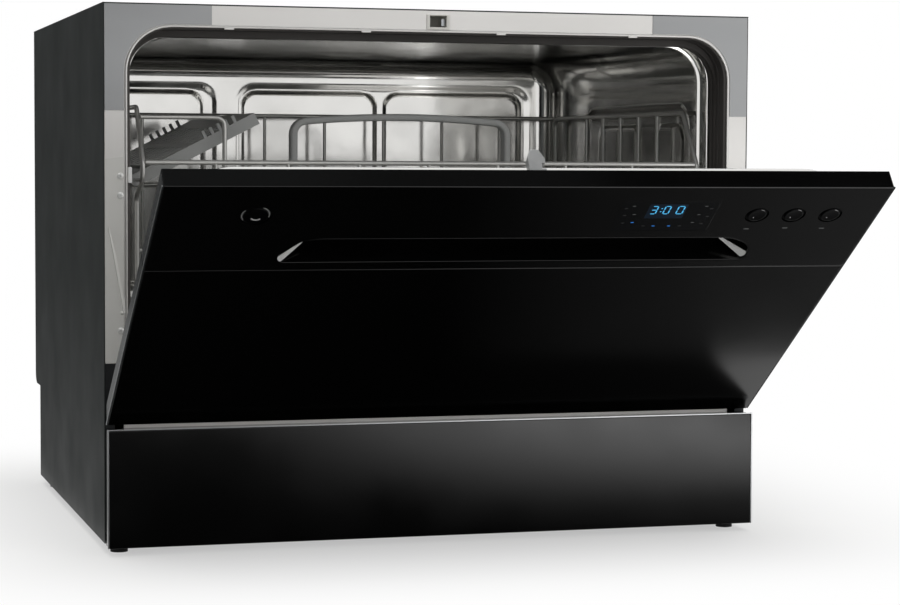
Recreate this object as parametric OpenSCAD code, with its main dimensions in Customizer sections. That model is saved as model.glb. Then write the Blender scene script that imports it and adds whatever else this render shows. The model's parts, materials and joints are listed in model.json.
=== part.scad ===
// Countertop dishwasher with a drop-down door, drawn with the door part open.
// Millimetres. X runs to the right, Y to the back, Z up. The floor is Z = 0.
// Pieces of the cabinet are drawn from the face of the front frame, where Y = 0, and
// in_cabinet() moves them to their place. Pieces of the door are drawn with the door shut,
// and on_door() swings them open about the hinge.

/* [Cabinet] */
// Width over the side panels
cabinet_w = 550; // [500:1:600]
// Height over the top panel, feet included
cabinet_h = 438; // [430:1:470]
// Depth of the casing behind the front frame
casing_d = 470; // [460:1:520]
// Height of the feet
foot_h = 8; // [6:1:12]
// Thickness of the casing sheet
sheet_t = 1; // [0.6:0.1:1.2]
// Height of the ledge where the lower back steps forward for the hoses
notch_z = 95; // [80:1:100]
// Depth of that step
notch_d = 37; // [25:1:45]
// Height of the top of the plinth
plinth_top = 100.4; // [90:0.1:101]

/* [Front opening] */
// Width of the frame between the casing and the opening
frame_margin = 19; // [16:0.5:22]
// Radius of the opening's upper corners
opening_r = 36; // [25:1:50]
// Height of the sill under the opening
sill_z = 121; // [119:1:124]
// Depth of the channel that holds the seal
seal_channel_d = 33; // [30:1:38]

/* [Door] */
// Angle of the door as drawn, from shut
door_open = 54.5; // [0:0.5:90]
// Angle of the door when it lies flat
door_flat = 90; // [80:1:90]
// Thickness of the door's outer shell
door_t = 15; // [14:0.5:18]
// Gap between the shut door and the frame
door_gap = 3; // [2:0.5:4]
// Height of the door's lower edge when shut
door_bottom = 106; // [104:0.5:108]
// Height of the door's upper edge when shut
door_top = 437; // [420:1:437]
// Height of the control panel
panel_h = 106; // [95:1:115]
// Height of the hinge pins
hinge_z = 114; // [113:0.5:116]
// Distance of the hinge pins in front of the frame
hinge_out = 11; // [10:0.5:12]

/* [Controls] */
// Radius of the on and off button
power_r = 11; // [9:0.5:13]
// Radius of each programme button
button_r = 9; // [7:0.5:10]
// Distance between programme buttons
button_pitch = 29.8; // [25:0.1:32]
// Travel of a button
button_travel = 1.5; // [1:0.1:2]
// Width of the display window
window_w = 77; // [60:1:90]
// Height of the display window
window_h = 38; // [30:1:42]

/* [Rack and spray arm] */
// Height of the rack's floor
rack_floor_z = 166; // [165:1:172]
// Height of the rack's side rims
rack_rim_z = 357; // [330:1:370]
// Radius of the rack's frame wires
wire_r = 2; // [1.5:0.1:2.5]
// Number of plate tines in a row
tine_count = 15; // [8:1:16]
// Angle of the cup shelf above the level
shelf_tilt = 27; // [0:1:60]
// Radius swept by the spray arm
arm_reach = 188; // [150:1:190]

/* [Hidden] */
$fn = 64;
eps = 0.5; // overshoot of a cutting tool

half_w = cabinet_w / 2;
inner_w = half_w - sheet_t;
casing_top = cabinet_h - sheet_t;
rear_low_y = casing_d - notch_d;
notch_r = 12;

opening_w = half_w - frame_margin;
opening_top = cabinet_h - frame_margin + 0.3;
frame_low_z = 62;
bead_w = 2;
bead_t = 0.8;
corner_plate_t = 0.6;
bracket_cut_x = 259.5;
bracket_top_z = 152;

door_back_y = -door_gap;
door_front_y = -door_gap - door_t;
hinge_y = -hinge_out;
shell_w = half_w - 1; // half width of the door's panels, inside the edge trims
skin_t = 1.5;
panel_bottom = door_top - panel_h;
panel_skin_t = 2;

foot_x = 262;
foot_front_y = 10;
foot_rear_y = 405;
foot_r = 7;
plinth_front_y = -19;
plinth_low_z = 6.5;
trim_w = 0.8;

// Screws of the frame and the casing, and the plates over the frame's upper corners
frame_screw_x = 261.5;
frame_screw_z = [178, 285.6, 301];
rear_screw_z = [130, 280, 420];
screw_r = 1.5;
corner_plate_x = 188;
corner_plate_z = 353;

// Seal: a thin cover over the channel's front part, then a thicker lip behind the shut liner
seal_cover_y = 2;
seal_cover_w = 253.6;
seal_cover_top = 417.6; // clears the edge of the liner as it swings in
seal_front_y = 19;
seal_d = 12;
seal_w = 252.6;
seal_top = 412.6;
frame_tab_x = [-174, -61, 54, 170];

// The drawn machine is centred front to back on Y = 0
door_reach = hinge_y - (hinge_y - door_front_y) * cos(door_open)
    - (door_top - hinge_z) * sin(door_open);
rear_head_t = 1.2;
front_y = -(door_reach + casing_d + rear_head_t) / 2;

// Inside of the tub
tub_w = 247;
tub_step_w = 250.5;
tub_step_d = 46;
tub_rear_y = 440;
tub_floor_z = 122;
tub_roof_z = 413;
tub_r = 30;
tub_step_top = 416;
tub_step_r = 33;
ledge_w = 232;
ledge_z = 144;
pressing_x = [-206, -73.6, 74];
pressing_w = 131;
pressing_low_z = 190;
pressing_high_z = 378;
pressing_d = 2.5;

// Sump and spray arm, on the middle of the tub floor
sump_y = 240;
sump_r = 80;
sump_bottom = 50;
sump_wall = 3;
hub_r = 12;
spigot_r = 8;
arm_low_z = 134;
arm_h = 8;
cup_y = sump_y - 44;
cup_r = 27;
duct_z = 85;
pump_x = 88;
pump_z = 56;

// Salt funnel on the tub floor
salt_x = -165;
salt_y = 125;
neck_r = 24;

// Connections through the lower back
inlet_x = -190;
inlet_z = 55;
thread_r = 13.2;
thread_l = 15;
drain_x = -118;
drain_z = 56;
spout_r = 9.5;
spout_l = 22;
gland_x = 200;
gland_z = 50;
gland_r = 8;
cable_r = 4;
collar_t = 2;
collar_y = rear_low_y + 0.2;

// Door liner, pressed inwards
liner_w = 250;
liner_top = 416;
liner_face_y = 18;
liner_low_z = 148;
flange_w = 271;
flange_top = 434;
flange_low_z = 124;

// Detergent dispenser in the liner
dispenser_x0 = -70;
dispenser_x1 = 90;
dispenser_z0 = 205;
dispenser_z1 = 300;
dispenser_face_y = liner_face_y + 2;
cap_x = 58;
cap_z = 252;
cap_r = 17;
lid_x0 = -58;
lid_x1 = 26;
lid_hinge_y = dispenser_face_y + 1.2;
lid_hinge_z = 216;
lid_pin_r = 0.9;
door_screw_z = [160, 235, 330, 400];

// Handle pocket
pocket_low_z = 340.5;
pocket_high_z = 372;
pocket_w = 183; // half width
pocket_x = 4;
pocket_back_y = 4;
pocket_low_r = 5;
pocket_high_r = 22;

// Controls
power_x = -204;
controls_z = 401;
first_button_x = 176;
window_x = 65;
window_z = 381;
board_y = -12;

// Latch
latch_low_z = 424.5;
latch_high_z = 431;
latch_w = 6.4;
hook_tip_y = 19.5;

// Hinge gear, given for the right-hand side
arm_x = 262.5;
arm_t = 3;
arm_eye_r = 5.4; // clears the door's outer skin
pin_r = 3;
lever_l = 40;
lever_shut_angle = -60;
lug_x = 267;
plate_x = 270.5;
stud_r = 2.5;
spring_anchor_y = 160;
lever_angle = lever_shut_angle + door_open;
spring_z = hinge_z + lever_l * sin(lever_angle);
lever_end_y = hinge_y + lever_l * cos(lever_angle);

// Rack
rack_w = 239.5;
rack_front_y = 26; // front rim
rack_base_y = 58; // front of the floor and of the side rims
rack_rear_y = 402;
front_rim_z = 312;
rim_drop_z = 298;
rim_back_z = 284;
grid_r = 1.6;
shelf_z = 297.5;
weld_r = 2.2; // bead where two frame wires meet
wheel_r = 9;
wheel_z = ledge_z + wheel_r + 0.4;
axle_r = 2.5;
wheel_x = 233;
wheel_w = 7;
wheel_y = [rack_base_y + 20, rack_rear_y - 47];
loop_x = 168;
loop_y = 50;
loop_z = 349;
loop_r = 8;
tine_y = [190, 300];
tine_h = 82;

// Cup shelf, measured along its slope from the wire that it turns on
shelf_y0 = 60;
shelf_y1 = 330;
shelf_l = 113;
shelf_edge = 98;
shelf_plate_start = 16;
tooth_start = 66;
clip_y = [60, 188, 316];
clip_l = 14;

// Cutlery basket
basket_x0 = -108;
basket_x1 = 90;
basket_y0 = 61;
basket_y1 = 112;
basket_z0 = 171;
basket_z1 = 285;
handle_top = 354;
cell_pitch = (basket_x1 - basket_x0 - 2) / 6;

// ---------- Helpers ----------

module in_cabinet() translate([0, front_y, 0]) children();

module on_door()
    in_cabinet()
        translate([0, hinge_y, hinge_z])
            rotate([door_open, 0, 0])
                translate([0, -hinge_y, -hinge_z]) children();

// A box between two corners
module slab(lo, hi) translate(lo) cube(hi - lo);

// A flat outline in X and Z, stretched from y0 to y1
module along_y(y0, y1) translate([0, y1, 0]) rotate([90, 0, 0]) linear_extrude(y1 - y0) children();

// A flat outline in Y and Z, stretched from x0 to x1
module along_x(x0, x1) translate([x0, 0, 0]) rotate([90, 0, 90]) linear_extrude(x1 - x0) children();

// A flat outline in X and Y, stretched from z0 to z1
module along_z(z0, z1) translate([0, 0, z0]) linear_extrude(z1 - z0) children();

module rod_x(x0, x1, y, z, r) translate([x0, y, z]) rotate([0, 90, 0]) cylinder(r = r, h = x1 - x0);
module rod_y(x, y0, y1, z, r) translate([x, y1, z]) rotate([90, 0, 0]) cylinder(r = r, h = y1 - y0);
module rod_z(x, y, z0, z1, r) translate([x, y, z0]) cylinder(r = r, h = z1 - z0);

// A round rod between two points
module rod(a, b, r) {
    d = b - a;
    translate(a)
        rotate([0, acos(d[2] / norm(d)), atan2(d[1], d[0])])
            cylinder(r = r, h = norm(d));
}

module both_sides() {
    children();
    mirror([1, 0, 0]) children();
}

// A rectangle with round corners
module rounded(x0, x1, z0, z1, r) {
    translate([x0 + r, z0]) square([x1 - x0 - 2 * r, z1 - z0]);
    translate([x0, z0 + r]) square([x1 - x0, z1 - z0 - 2 * r]);
    for (x = [x0 + r, x1 - r], z = [z0 + r, z1 - r]) translate([x, z]) circle(r = r);
}

// The front opening's outline: square below, round above
module arch(w, low, top, r) {
    translate([-w, low]) square([2 * w, top - r - low]);
    translate([-w + r, low]) square([2 * (w - r), top - low]);
    for (x = [-w + r, w - r]) translate([x, top - r]) circle(r = r);
}

// An outline with its centre part carried down between the wheel ledges
module stepped_arch(w, low, top, r, grow = 0) {
    arch(w + grow, ledge_z - grow, top + grow, r + grow);
    translate([-ledge_w - grow, low - grow]) square([2 * (ledge_w + grow), ledge_z - low + r]);
}

// ---------- Casing ----------

// The side of the casing in Y and Z, drawn in by a distance
module casing_side(inset = 0) {
    back = casing_d - inset;
    low_back = rear_low_y - inset;
    ledge = notch_z + inset;
    r = notch_r - inset;
    difference() {
        translate([0, foot_h]) square([back, casing_top - foot_h]);
        translate([low_back, 0]) square([casing_d, ledge]);
        difference() {
            translate([back - r, ledge]) square([r + 1, r]);
            translate([back - r, ledge + r]) circle(r = r);
        }
    }
}

module side_panel() {
    along_x(inner_w, half_w) casing_side();
    // Folded edge along the bottom
    slab([inner_w - 8, 12, foot_h], [inner_w + eps / 2, rear_low_y - 12, foot_h + sheet_t]);
}

module left_side_panel() color("#3d4040") in_cabinet() mirror([1, 0, 0]) side_panel();
module right_side_panel() color("#3d4040") in_cabinet() side_panel();

module top_panel()
    color("#3a3d3d") in_cabinet() {
        slab([-half_w, 0, casing_top], [half_w, casing_d, cabinet_h]);
        // Stiffening channels under the sheet, over the tub
        for (y = [120, 350])
            slab([-230, y, casing_top - 4], [230, y + 24, casing_top]);
    }

module rear_panel()
    color("#8a8e90") in_cabinet() difference() {
        along_x(-inner_w + 0.2, inner_w - 0.2) difference() {
            casing_side();
            casing_side(sheet_t);
            translate([0, 0]) square([rear_low_y - 2 * sheet_t, cabinet_h]);
            translate([0, casing_top - 0.2]) square([casing_d + 1, 2]);
        }
        // Holes for the inlet, the drain and the cable
        rod_y(inlet_x, rear_low_y - 5, rear_low_y + 5, inlet_z, thread_r + 0.4);
        rod_y(drain_x, rear_low_y - 5, rear_low_y + 5, drain_z, spout_r + 0.4);
        rod_y(gland_x, rear_low_y - 5, rear_low_y + 5, gland_z, gland_r + 0.4);
        // Vents
        for (i = [0:7])
            slab([120 + i * 14, casing_d - 5, 330], [126 + i * 14, casing_d + 5, 380]);
    }

module base_tray()
    color("#2b2d2e") in_cabinet() {
        w = inner_w - 9;
        back = rear_low_y - 2;
        slab([-w, 1.5, foot_h], [w, back, foot_h + 2]);
        difference() {
            slab([-w, 1.5, foot_h + 2], [w, back, 60]);
            slab([-w + 2.5, 4, foot_h + 1], [w - 2.5, back - 2.5, 61]);
            // The rear wall is lower where the connections pass
            slab([inlet_x - 25, back - 5, 34], [gland_x + 20, back + 1, 61]);
        }
    }

module feet()
    color("#1c1c1c") in_cabinet()
        for (x = [-foot_x, foot_x], y = [foot_front_y, foot_rear_y]) {
            rod_z(x, y, 0, 5, foot_r);
            rod_z(x, y, 5, foot_h, 3);
        }

module front_frame()
    color("#d0d1cf") in_cabinet() {
        difference() {
            slab([-inner_w, 0, frame_low_z], [inner_w, sheet_t, casing_top]);
            along_y(-eps, sheet_t + eps) stepped_arch(opening_w, sill_z, opening_top, opening_r);
            both_sides() {
                slab([bracket_cut_x, -eps, frame_low_z - 1], [half_w, 2, bracket_top_z]);
                for (z = frame_screw_z) rod_y(frame_screw_x, -eps, 2, z, screw_r + 0.1);
            }
            slab([-latch_w - 2, -eps, latch_low_z - 2], [latch_w + 2, 2, latch_high_z + 2]);
        }
        // Rolled bead round the opening
        along_y(-bead_t, 0) difference() {
            arch(opening_w + bead_w, ledge_z, opening_top + bead_w, opening_r + bead_w);
            translate([0, -1]) arch(opening_w, ledge_z, opening_top + 1, opening_r);
        }
        // Small tabs under its upper edge that hold the seal
        for (x = frame_tab_x)
            slab([x - 4, 0, opening_top - 1.2], [x + 4, sheet_t, opening_top + 0.5]);
    }

module corner_plates()
    color("#8f9191") in_cabinet() both_sides() {
        along_y(-corner_plate_t, 0) difference() {
            translate([corner_plate_x, corner_plate_z])
                square([inner_w - corner_plate_x, casing_top - corner_plate_z]);
            arch(opening_w + bead_w + 0.2, ledge_z, opening_top + bead_w + 0.2, opening_r + bead_w);
        }
    }

module casing_screws()
    color("#e6e6e4") in_cabinet() {
        both_sides() for (z = frame_screw_z) {
            rod_y(frame_screw_x, -1.4, 0, z, 2.8);
            rod_y(frame_screw_x, 0, 6, z, screw_r);
        }
        // Heads on the back panel
        both_sides() for (z = rear_screw_z)
            rod_y(inner_w - 8, casing_d, casing_d + rear_head_t, z, 3.5);
    }

module plinth()
    color("#1b1c1c") in_cabinet() difference() {
        slab([-shell_w, plinth_front_y, plinth_low_z], [shell_w, 0, plinth_top]);
        slab([-shell_w + skin_t, plinth_front_y + skin_t, plinth_low_z - 1],
             [shell_w - skin_t, 1, plinth_top - skin_t]);
        // Room for the hinge levers
        both_sides() slab([arm_x - 2, -13, plinth_top - 5], [arm_x + arm_t + 1.5, 1, plinth_top + 1]);
    }

module plinth_trim()
    color("#c9cacb") in_cabinet() {
        both_sides() slab([shell_w, plinth_front_y, plinth_low_z],
                          [half_w, plinth_front_y + 3, plinth_top + trim_w]);
        slab([-shell_w, plinth_front_y, plinth_top],
             [shell_w, plinth_front_y + 1.2, plinth_top + trim_w]);
    }

// ---------- Tub ----------

// The space inside the tub, grown by the wall
module tub_space(grow) {
    front = grow > 0 ? sheet_t : -eps;
    along_y(front, seal_channel_d + grow)
        stepped_arch(opening_w, sill_z, opening_top, opening_r, grow);
    along_y(seal_channel_d - 1, tub_step_d + grow)
        stepped_arch(tub_step_w, tub_floor_z, tub_step_top, tub_step_r, grow);
    intersection() {
        along_y(tub_step_d - 1, tub_rear_y + grow)
            rounded(-tub_w - grow, tub_w + grow, ledge_z - grow, tub_roof_z + grow, tub_r + grow);
        translate([0, 0, ledge_z - 5]) linear_extrude(tub_roof_z)
            rounded(-tub_w - grow, tub_w + grow, -100, tub_rear_y + grow, tub_r + grow);
    }
    // Square lower corners above the wheel ledges
    slab([-tub_w - grow, tub_step_d - 1, ledge_z - grow],
         [tub_w + grow, tub_rear_y - tub_r, ledge_z + tub_r]);
    // Between the ledges
    translate([0, 0, tub_floor_z - grow]) linear_extrude(ledge_z + 20 - tub_floor_z)
        rounded(-ledge_w - grow, ledge_w + grow, tub_step_d - 40, tub_rear_y - 8 + grow, 25 + grow);
    // Pressed panels in the rear wall
    for (x0 = pressing_x)
        along_y(tub_rear_y - 1, tub_rear_y + pressing_d + grow)
            rounded(x0 - grow, x0 + pressing_w + grow,
                    pressing_low_z - grow, pressing_high_z + grow, 18 + grow);
}

// The pressed sheet of the tub, before the holes in its floor
module tub_sheet() difference() {
    tub_space(sheet_t);
    tub_space(0);
}

// Walls, roof and back, welded to the floor pan along the ledges
module tub()
    color("#c4c6c6") in_cabinet() difference() {
        tub_sheet();
        slab([-half_w, -eps, 90], [half_w, casing_d, ledge_z]);
    }

module tub_floor()
    color("#c4c6c6") in_cabinet() difference() {
        tub_sheet();
        slab([-half_w, -eps, ledge_z], [half_w, casing_d, cabinet_h]);
        rod_z(0, sump_y, 100, 130, sump_r - sump_wall);
        rod_z(salt_x, salt_y, 100, 130, neck_r + 2);
    }

module tub_seal()
    color("#3a3b3d") in_cabinet() {
        difference() {
            along_y(seal_cover_y, seal_front_y + seal_d)
                arch(opening_w - 0.1, ledge_z + 0.4, opening_top - 0.1, opening_r - 0.1);
            along_y(seal_cover_y - 1, seal_front_y)
                arch(seal_cover_w, ledge_z - 1, seal_cover_top, 33.6);
            along_y(seal_front_y - 1, seal_front_y + seal_d + 1)
                arch(seal_w, ledge_z - 1, seal_top, 32.6);
            // Groove of the hollow lip
            along_y(seal_front_y + 3, seal_front_y + 9)
                arch(seal_w + 2, ledge_z - 1, seal_top + 3, 34);
        }
    }

// ---------- Water system ----------

module sump()
    color("#55585a") in_cabinet() difference() {
        union() {
            rod_z(0, sump_y, sump_bottom, tub_floor_z - sheet_t, sump_r);
            rod_x(0, pump_x, sump_y, pump_z + 6, 14);
            rod_y(0, sump_y, sump_y + sump_r + 8, duct_z, 13);
        }
        rod_z(0, sump_y, sump_bottom + sump_wall, 130, sump_r - sump_wall);
        rod_x(0, pump_x + 1, sump_y, pump_z + 6, 10);
        rod_y(0, sump_y, sump_y + sump_r + 9, duct_z, 9);
    }

// The pipe from the pump to the spray hub
module outlet_pipe() {
    bend = 20;
    y0 = sump_y + 52;
    y1 = sump_y + sump_r + 8;
    x1 = pump_x + 13;
    y_far = 360;
    rod_y(x1, y0, y_far - bend, duct_z, 11);
    rod_y(0, y1, y_far - bend, duct_z, 11);
    rod_x(bend, x1 - bend, y_far, duct_z, 11);
    translate([bend, y_far - bend, duct_z]) rotate([0, 0, 90])
        rotate_extrude(angle = 90) translate([bend, 0]) circle(r = 11);
    translate([x1 - bend, y_far - bend, duct_z])
        rotate_extrude(angle = 90) translate([bend, 0]) circle(r = 11);
}

module wash_pump()
    color("#3b3f45") in_cabinet() {
        // Volute, with the heater ring round it, and the motor
        difference() {
            rod_x(pump_x, pump_x + 26, sump_y, pump_z, 42);
            rod_x(pump_x - 1, pump_x + 8, sump_y, pump_z + 6, 10);
        }
        rod_x(pump_x + 26, pump_x + 34, sump_y, pump_z, 38);
        rod_x(pump_x + 34, pump_x + 120, sump_y, pump_z, 31);
        for (x = [pump_x + 50, pump_x + 90]) slab([x, sump_y - 22, 10], [x + 8, sump_y + 22, 36]);
        rod_y(pump_x + 13, sump_y + 20, sump_y + 52, duct_z, 12);
        outlet_pipe();
    }

module drain_pump()
    color("#4a4f55") in_cabinet() {
        rod_x(-104, -80.2, sump_y + 20, pump_z + 2, 26);
        rod_x(-160, -104, sump_y + 20, pump_z + 2, 21);
        // Outlet elbow and inner hose to the spigot at the back
        rod_y(-118, sump_y + 38, 424, pump_z, 9);
    }

module softener_tank()
    color("#e4e3df") in_cabinet() difference() {
        union() {
            slab([-250, 60, 12], [-100, 200, 112]);
            rod_z(salt_x, salt_y, 112, tub_floor_z + 1, neck_r);
        }
        rod_z(salt_x, salt_y, 60, tub_floor_z + 2, neck_r - 3);
    }

module salt_cap()
    color("#6d7276") in_cabinet() {
        difference() {
            rod_z(salt_x, salt_y, tub_floor_z + 1.3, tub_floor_z + 6, neck_r + 4);
            for (a = [0:30:330])
                translate([salt_x, salt_y, tub_floor_z]) rotate([0, 0, a])
                    translate([neck_r + 4, 0, 0]) cylinder(r = 2, h = 10);
        }
        slab([salt_x - 20, salt_y - 4, tub_floor_z + 6], [salt_x + 20, salt_y + 4, tub_floor_z + 9.5]);
        rod_z(salt_x, salt_y, tub_floor_z - 6, tub_floor_z + 1.3, neck_r - 3.3);
    }

module inlet_valve()
    color("#dcdcd8") in_cabinet() {
        slab([inlet_x - 20, rear_low_y - 55, 35], [inlet_x + 20, rear_low_y - 10, 75]);
        rod_y(inlet_x, rear_low_y - 10, collar_y, inlet_z, thread_r);
        rod_y(inlet_x, collar_y, collar_y + collar_t, inlet_z, thread_r + 4);
        difference() {
            rod_y(inlet_x, collar_y + collar_t, collar_y + collar_t + thread_l, inlet_z, thread_r);
            rod_y(inlet_x, collar_y + collar_t + 2, collar_y + collar_t + thread_l + 1, inlet_z, 8);
        }
    }

module drain_spigot()
    color("#2e3032") in_cabinet() difference() {
        union() {
            rod_y(drain_x, rear_low_y - 9, collar_y, drain_z, spout_r);
            rod_y(drain_x, collar_y, collar_y + collar_t, drain_z, spout_r + 5);
            rod_y(drain_x, collar_y + collar_t, collar_y + collar_t + spout_l, drain_z, spout_r);
        }
        rod_y(drain_x, rear_low_y - 10, collar_y + collar_t + spout_l + 1, drain_z, spout_r - 2.5);
    }

module cable_gland()
    color("#1a1a1a") in_cabinet() difference() {
        union() {
            rod_y(gland_x, rear_low_y - 8, collar_y, gland_z, gland_r);
            rod_y(gland_x, collar_y, rear_low_y + 10, gland_z, gland_r + 4);
        }
        rod_y(gland_x, rear_low_y - 9, rear_low_y + 11, gland_z, cable_r);
    }

module air_break()
    color("#d8dcdd") in_cabinet() difference() {
        slab([-inner_w + 2, 180, 150], [-tub_w - 4, 400, 380]);
        // Moulded ribs that lead the water up and over
        for (i = [0:3]) slab([-inner_w + 1, 200 + i * 48, 170], [-inner_w + 8, 236 + i * 48, 360]);
    }

module power_board()
    color("#3c4a3c") in_cabinet() {
        slab([130, 330, 12], [250, 415, 50]);
        for (x = [150, 190, 225]) slab([x, 345, 50], [x + 18, 370, 56]);
    }

module spray_hub()
    color("#9a9da0") in_cabinet() {
        rod_z(0, sump_y, 66, 128, hub_r);
        rod_z(0, sump_y, 128, 145, spigot_r);
        rod_y(0, sump_y, sump_y + sump_r - sump_wall - 0.2, duct_z, 9);
        // Foot on the sump floor
        rod_z(0, sump_y, sump_bottom + sump_wall, 66, 8);
    }

// One blade of the spray arm, along X
module arm_blade() {
    polygon([[0, -17], [arm_reach - 12, -11], [arm_reach - 12, 11], [0, 17]]);
    translate([arm_reach - 12, 0]) circle(r = 11);
}

module spray_arm()
    color("#b9bcbd") in_cabinet() translate([0, sump_y, 0]) rotate([0, 0, 20]) difference() {
        union() {
            translate([0, 0, arm_low_z]) linear_extrude(arm_h) {
                arm_blade();
                mirror([1, 0]) arm_blade();
            }
            translate([0, 0, 130]) cylinder(r = 20, h = 14);
        }
        translate([0, 0, 129]) cylinder(r = spigot_r + 0.05, h = 20);
        // Jets
        for (x = [45:30:165]) {
            translate([x, 4, arm_low_z + 4]) cylinder(r = 1.6, h = 8);
            translate([-x, -4, arm_low_z + 4]) cylinder(r = 1.6, h = 8);
        }
    }

module filter_plate()
    color("#aeb1b2") in_cabinet() difference() {
        rod_z(0, sump_y, tub_floor_z, tub_floor_z + 1.2, 95);
        rod_z(0, sump_y, tub_floor_z - 1, tub_floor_z + 3, hub_r + 0.2);
        rod_z(0, cup_y, tub_floor_z - 1, tub_floor_z + 3, cup_r + 0.4);
        for (a = [-20:20:200], r = [50, 68, 86])
            translate([r * cos(a), sump_y + r * sin(a), tub_floor_z - 1]) cylinder(r = 2.5, h = 4);
    }

module filter_cup()
    color("#8f9496") in_cabinet() {
        difference() {
            union() {
                rod_z(0, cup_y, 66, tub_floor_z + 1.6, cup_r);
                rod_z(0, cup_y, tub_floor_z + 1.6, tub_floor_z + 4, cup_r + 4);
            }
            rod_z(0, cup_y, 68, tub_floor_z + 8, cup_r - 2.5);
        }
        // Handle across the mouth
        slab([-cup_r + 1, cup_y - 2, tub_floor_z - 6], [cup_r - 1, cup_y + 2, tub_floor_z + 9]);
    }

// ---------- Rack ----------

module rack_floor()
    color("#9b9fa2") in_cabinet() {
        for (x = [-rack_w, rack_w]) rod_y(x, rack_base_y, rack_rear_y, rack_floor_z, wire_r);
        for (y = [rack_base_y, rack_rear_y]) rod_x(-rack_w, rack_w, y, rack_floor_z, wire_r);
        for (y = [rack_base_y + 43:43:rack_rear_y - 20])
            rod_x(-rack_w, rack_w, y, rack_floor_z, grid_r);
        for (x = [-200:40:200])
            rod_y(x, rack_base_y + grid_r, rack_rear_y - grid_r, rack_floor_z + 2.4, grid_r);
        // Hangers and axles for the wheels
        both_sides() for (y = wheel_y) {
            slab([wheel_x - 4, y - 7, wheel_z - 6], [wheel_x - 1, y + 7, rack_floor_z]);
            rod_x(wheel_x - 2, wheel_x + wheel_w + 1.5, y, wheel_z, axle_r);
        }
    }

// A wheel of the right-hand side
module rack_wheel(y)
    color("#4b5154") in_cabinet() difference() {
        rod_x(wheel_x, wheel_x + wheel_w, y, wheel_z, wheel_r);
        rod_x(wheel_x - 1, wheel_x + wheel_w + 1, y, wheel_z, axle_r + 0.05);
    }
module rack_wheel_1() mirror([1, 0, 0]) rack_wheel(wheel_y[0]);
module rack_wheel_2() rack_wheel(wheel_y[0]);
module rack_wheel_3() mirror([1, 0, 0]) rack_wheel(wheel_y[1]);
module rack_wheel_4() rack_wheel(wheel_y[1]);

module rack_sides()
    color("#9b9fa2") in_cabinet() both_sides() {
        low = rack_floor_z + wire_r;
        corners = [
            [rack_w, rack_rear_y, low], [rack_w, rack_rear_y, rack_rim_z],
            [rack_w, rack_base_y, rack_rim_z], [rack_w, rack_front_y, front_rim_z],
            [rack_w, rack_front_y, rim_drop_z], [rack_w, rack_base_y, rim_back_z],
            [rack_w, rack_base_y, low]
        ];
        last = len(corners) - 1;
        for (i = [0:last - 1]) rod(corners[i], corners[i + 1], wire_r);
        for (i = [1:last - 1]) translate(corners[i]) sphere(r = weld_r);
        for (y = [120:47:355]) rod_z(rack_w, y, low, rack_rim_z, grid_r);
        rod_y(rack_w, rack_front_y + 8, rack_rear_y, shelf_z, grid_r);
    }

// A wire that drops from the rim, runs back and goes down to the floor
module bent_wire(x, y, z_top, y_low, z_low, r) {
    corners = [[x, y, z_top], [x, y, rim_drop_z], [x, y_low, rim_back_z], [x, y_low, z_low]];
    for (i = [0:2]) rod(corners[i], corners[i + 1], r);
    for (i = [1:2]) translate(corners[i]) sphere(r = r + 0.2);
}

module rack_ends()
    color("#9b9fa2") in_cabinet() {
        low = rack_floor_z + wire_r;
        w = rack_w - wire_r;
        for (z = [rack_rim_z, 290]) rod_x(-w, w, rack_rear_y, z, wire_r);
        for (x = [-180:60:180]) rod_z(x, rack_rear_y, low, rack_rim_z, grid_r);
        rod_x(-w, w, rack_front_y, front_rim_z, wire_r);
        rod_x(-w, w, rack_base_y, 240, grid_r);
        for (x = [-180:60:180]) bent_wire(x, rack_front_y, front_rim_z, rack_base_y, low, grid_r);
        // Raised loop beside the cup shelf
        rod_x(-w, -loop_x - loop_r, loop_y, loop_z, wire_r);
        translate([-loop_x - loop_r, loop_y, loop_z - loop_r]) rotate([90, 0, 0])
            rotate_extrude(angle = 90) translate([loop_r, 0]) circle(r = wire_r);
        bent_wire(-loop_x, loop_y, loop_z - loop_r, rack_base_y + 3.7, low, wire_r);
    }

module plate_tines()
    color("#9b9fa2") in_cabinet() {
        base_z = rack_floor_z + 2.4 + 2 * grid_r;
        for (y = tine_y) {
            rod_x(-200, 200, y, base_z, grid_r);
            for (i = [0:tine_count - 1])
                rod_z(-168 + i * 336 / (tine_count - 1), y, base_z, base_z + tine_h, 1.5);
        }
    }

module cutlery_basket()
    color("#7d8387") in_cabinet() difference() {
        slab([basket_x0, basket_y0, basket_z0], [basket_x1, basket_y1, basket_z1]);
        for (i = [0:5]) translate([basket_x0 + 2 + i * cell_pitch, 0, 0]) {
            // One compartment, and the drain slots in its walls and floor
            slab([0, basket_y0 + 2, basket_z0 + 3], [cell_pitch - 2, basket_y1 - 2, basket_z1 + 1]);
            for (k = [0:2])
                slab([6, basket_y0 - 1, basket_z0 + 12 + k * 32],
                     [cell_pitch - 8, basket_y1 + 1, basket_z0 + 34 + k * 32]);
            for (j = [0:1])
                slab([8, basket_y0 + 8 + j * 28, basket_z0 - 1],
                     [cell_pitch - 10, basket_y0 + 22 + j * 28, basket_z0 + 4]);
        }
    }

// The handle's outline: a shallow crown with round corners
module handle_outline(inset) {
    crown_r = 905;
    mid_x = (basket_x0 + basket_x1) / 2;
    intersection() {
        rounded(basket_x0 + 2 + inset, basket_x1 - 2 - inset,
                basket_z1 - 40, handle_top - inset, 14 - inset);
        translate([mid_x, handle_top - inset - crown_r]) circle(r = crown_r, $fn = 200);
    }
}

module basket_handle()
    color("#7d8387") in_cabinet() along_y(77, 89) intersection() {
        difference() {
            handle_outline(0);
            handle_outline(6);
        }
        translate([basket_x0, basket_z1 - 24]) square([basket_x1 - basket_x0, 100]);
    }

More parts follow.
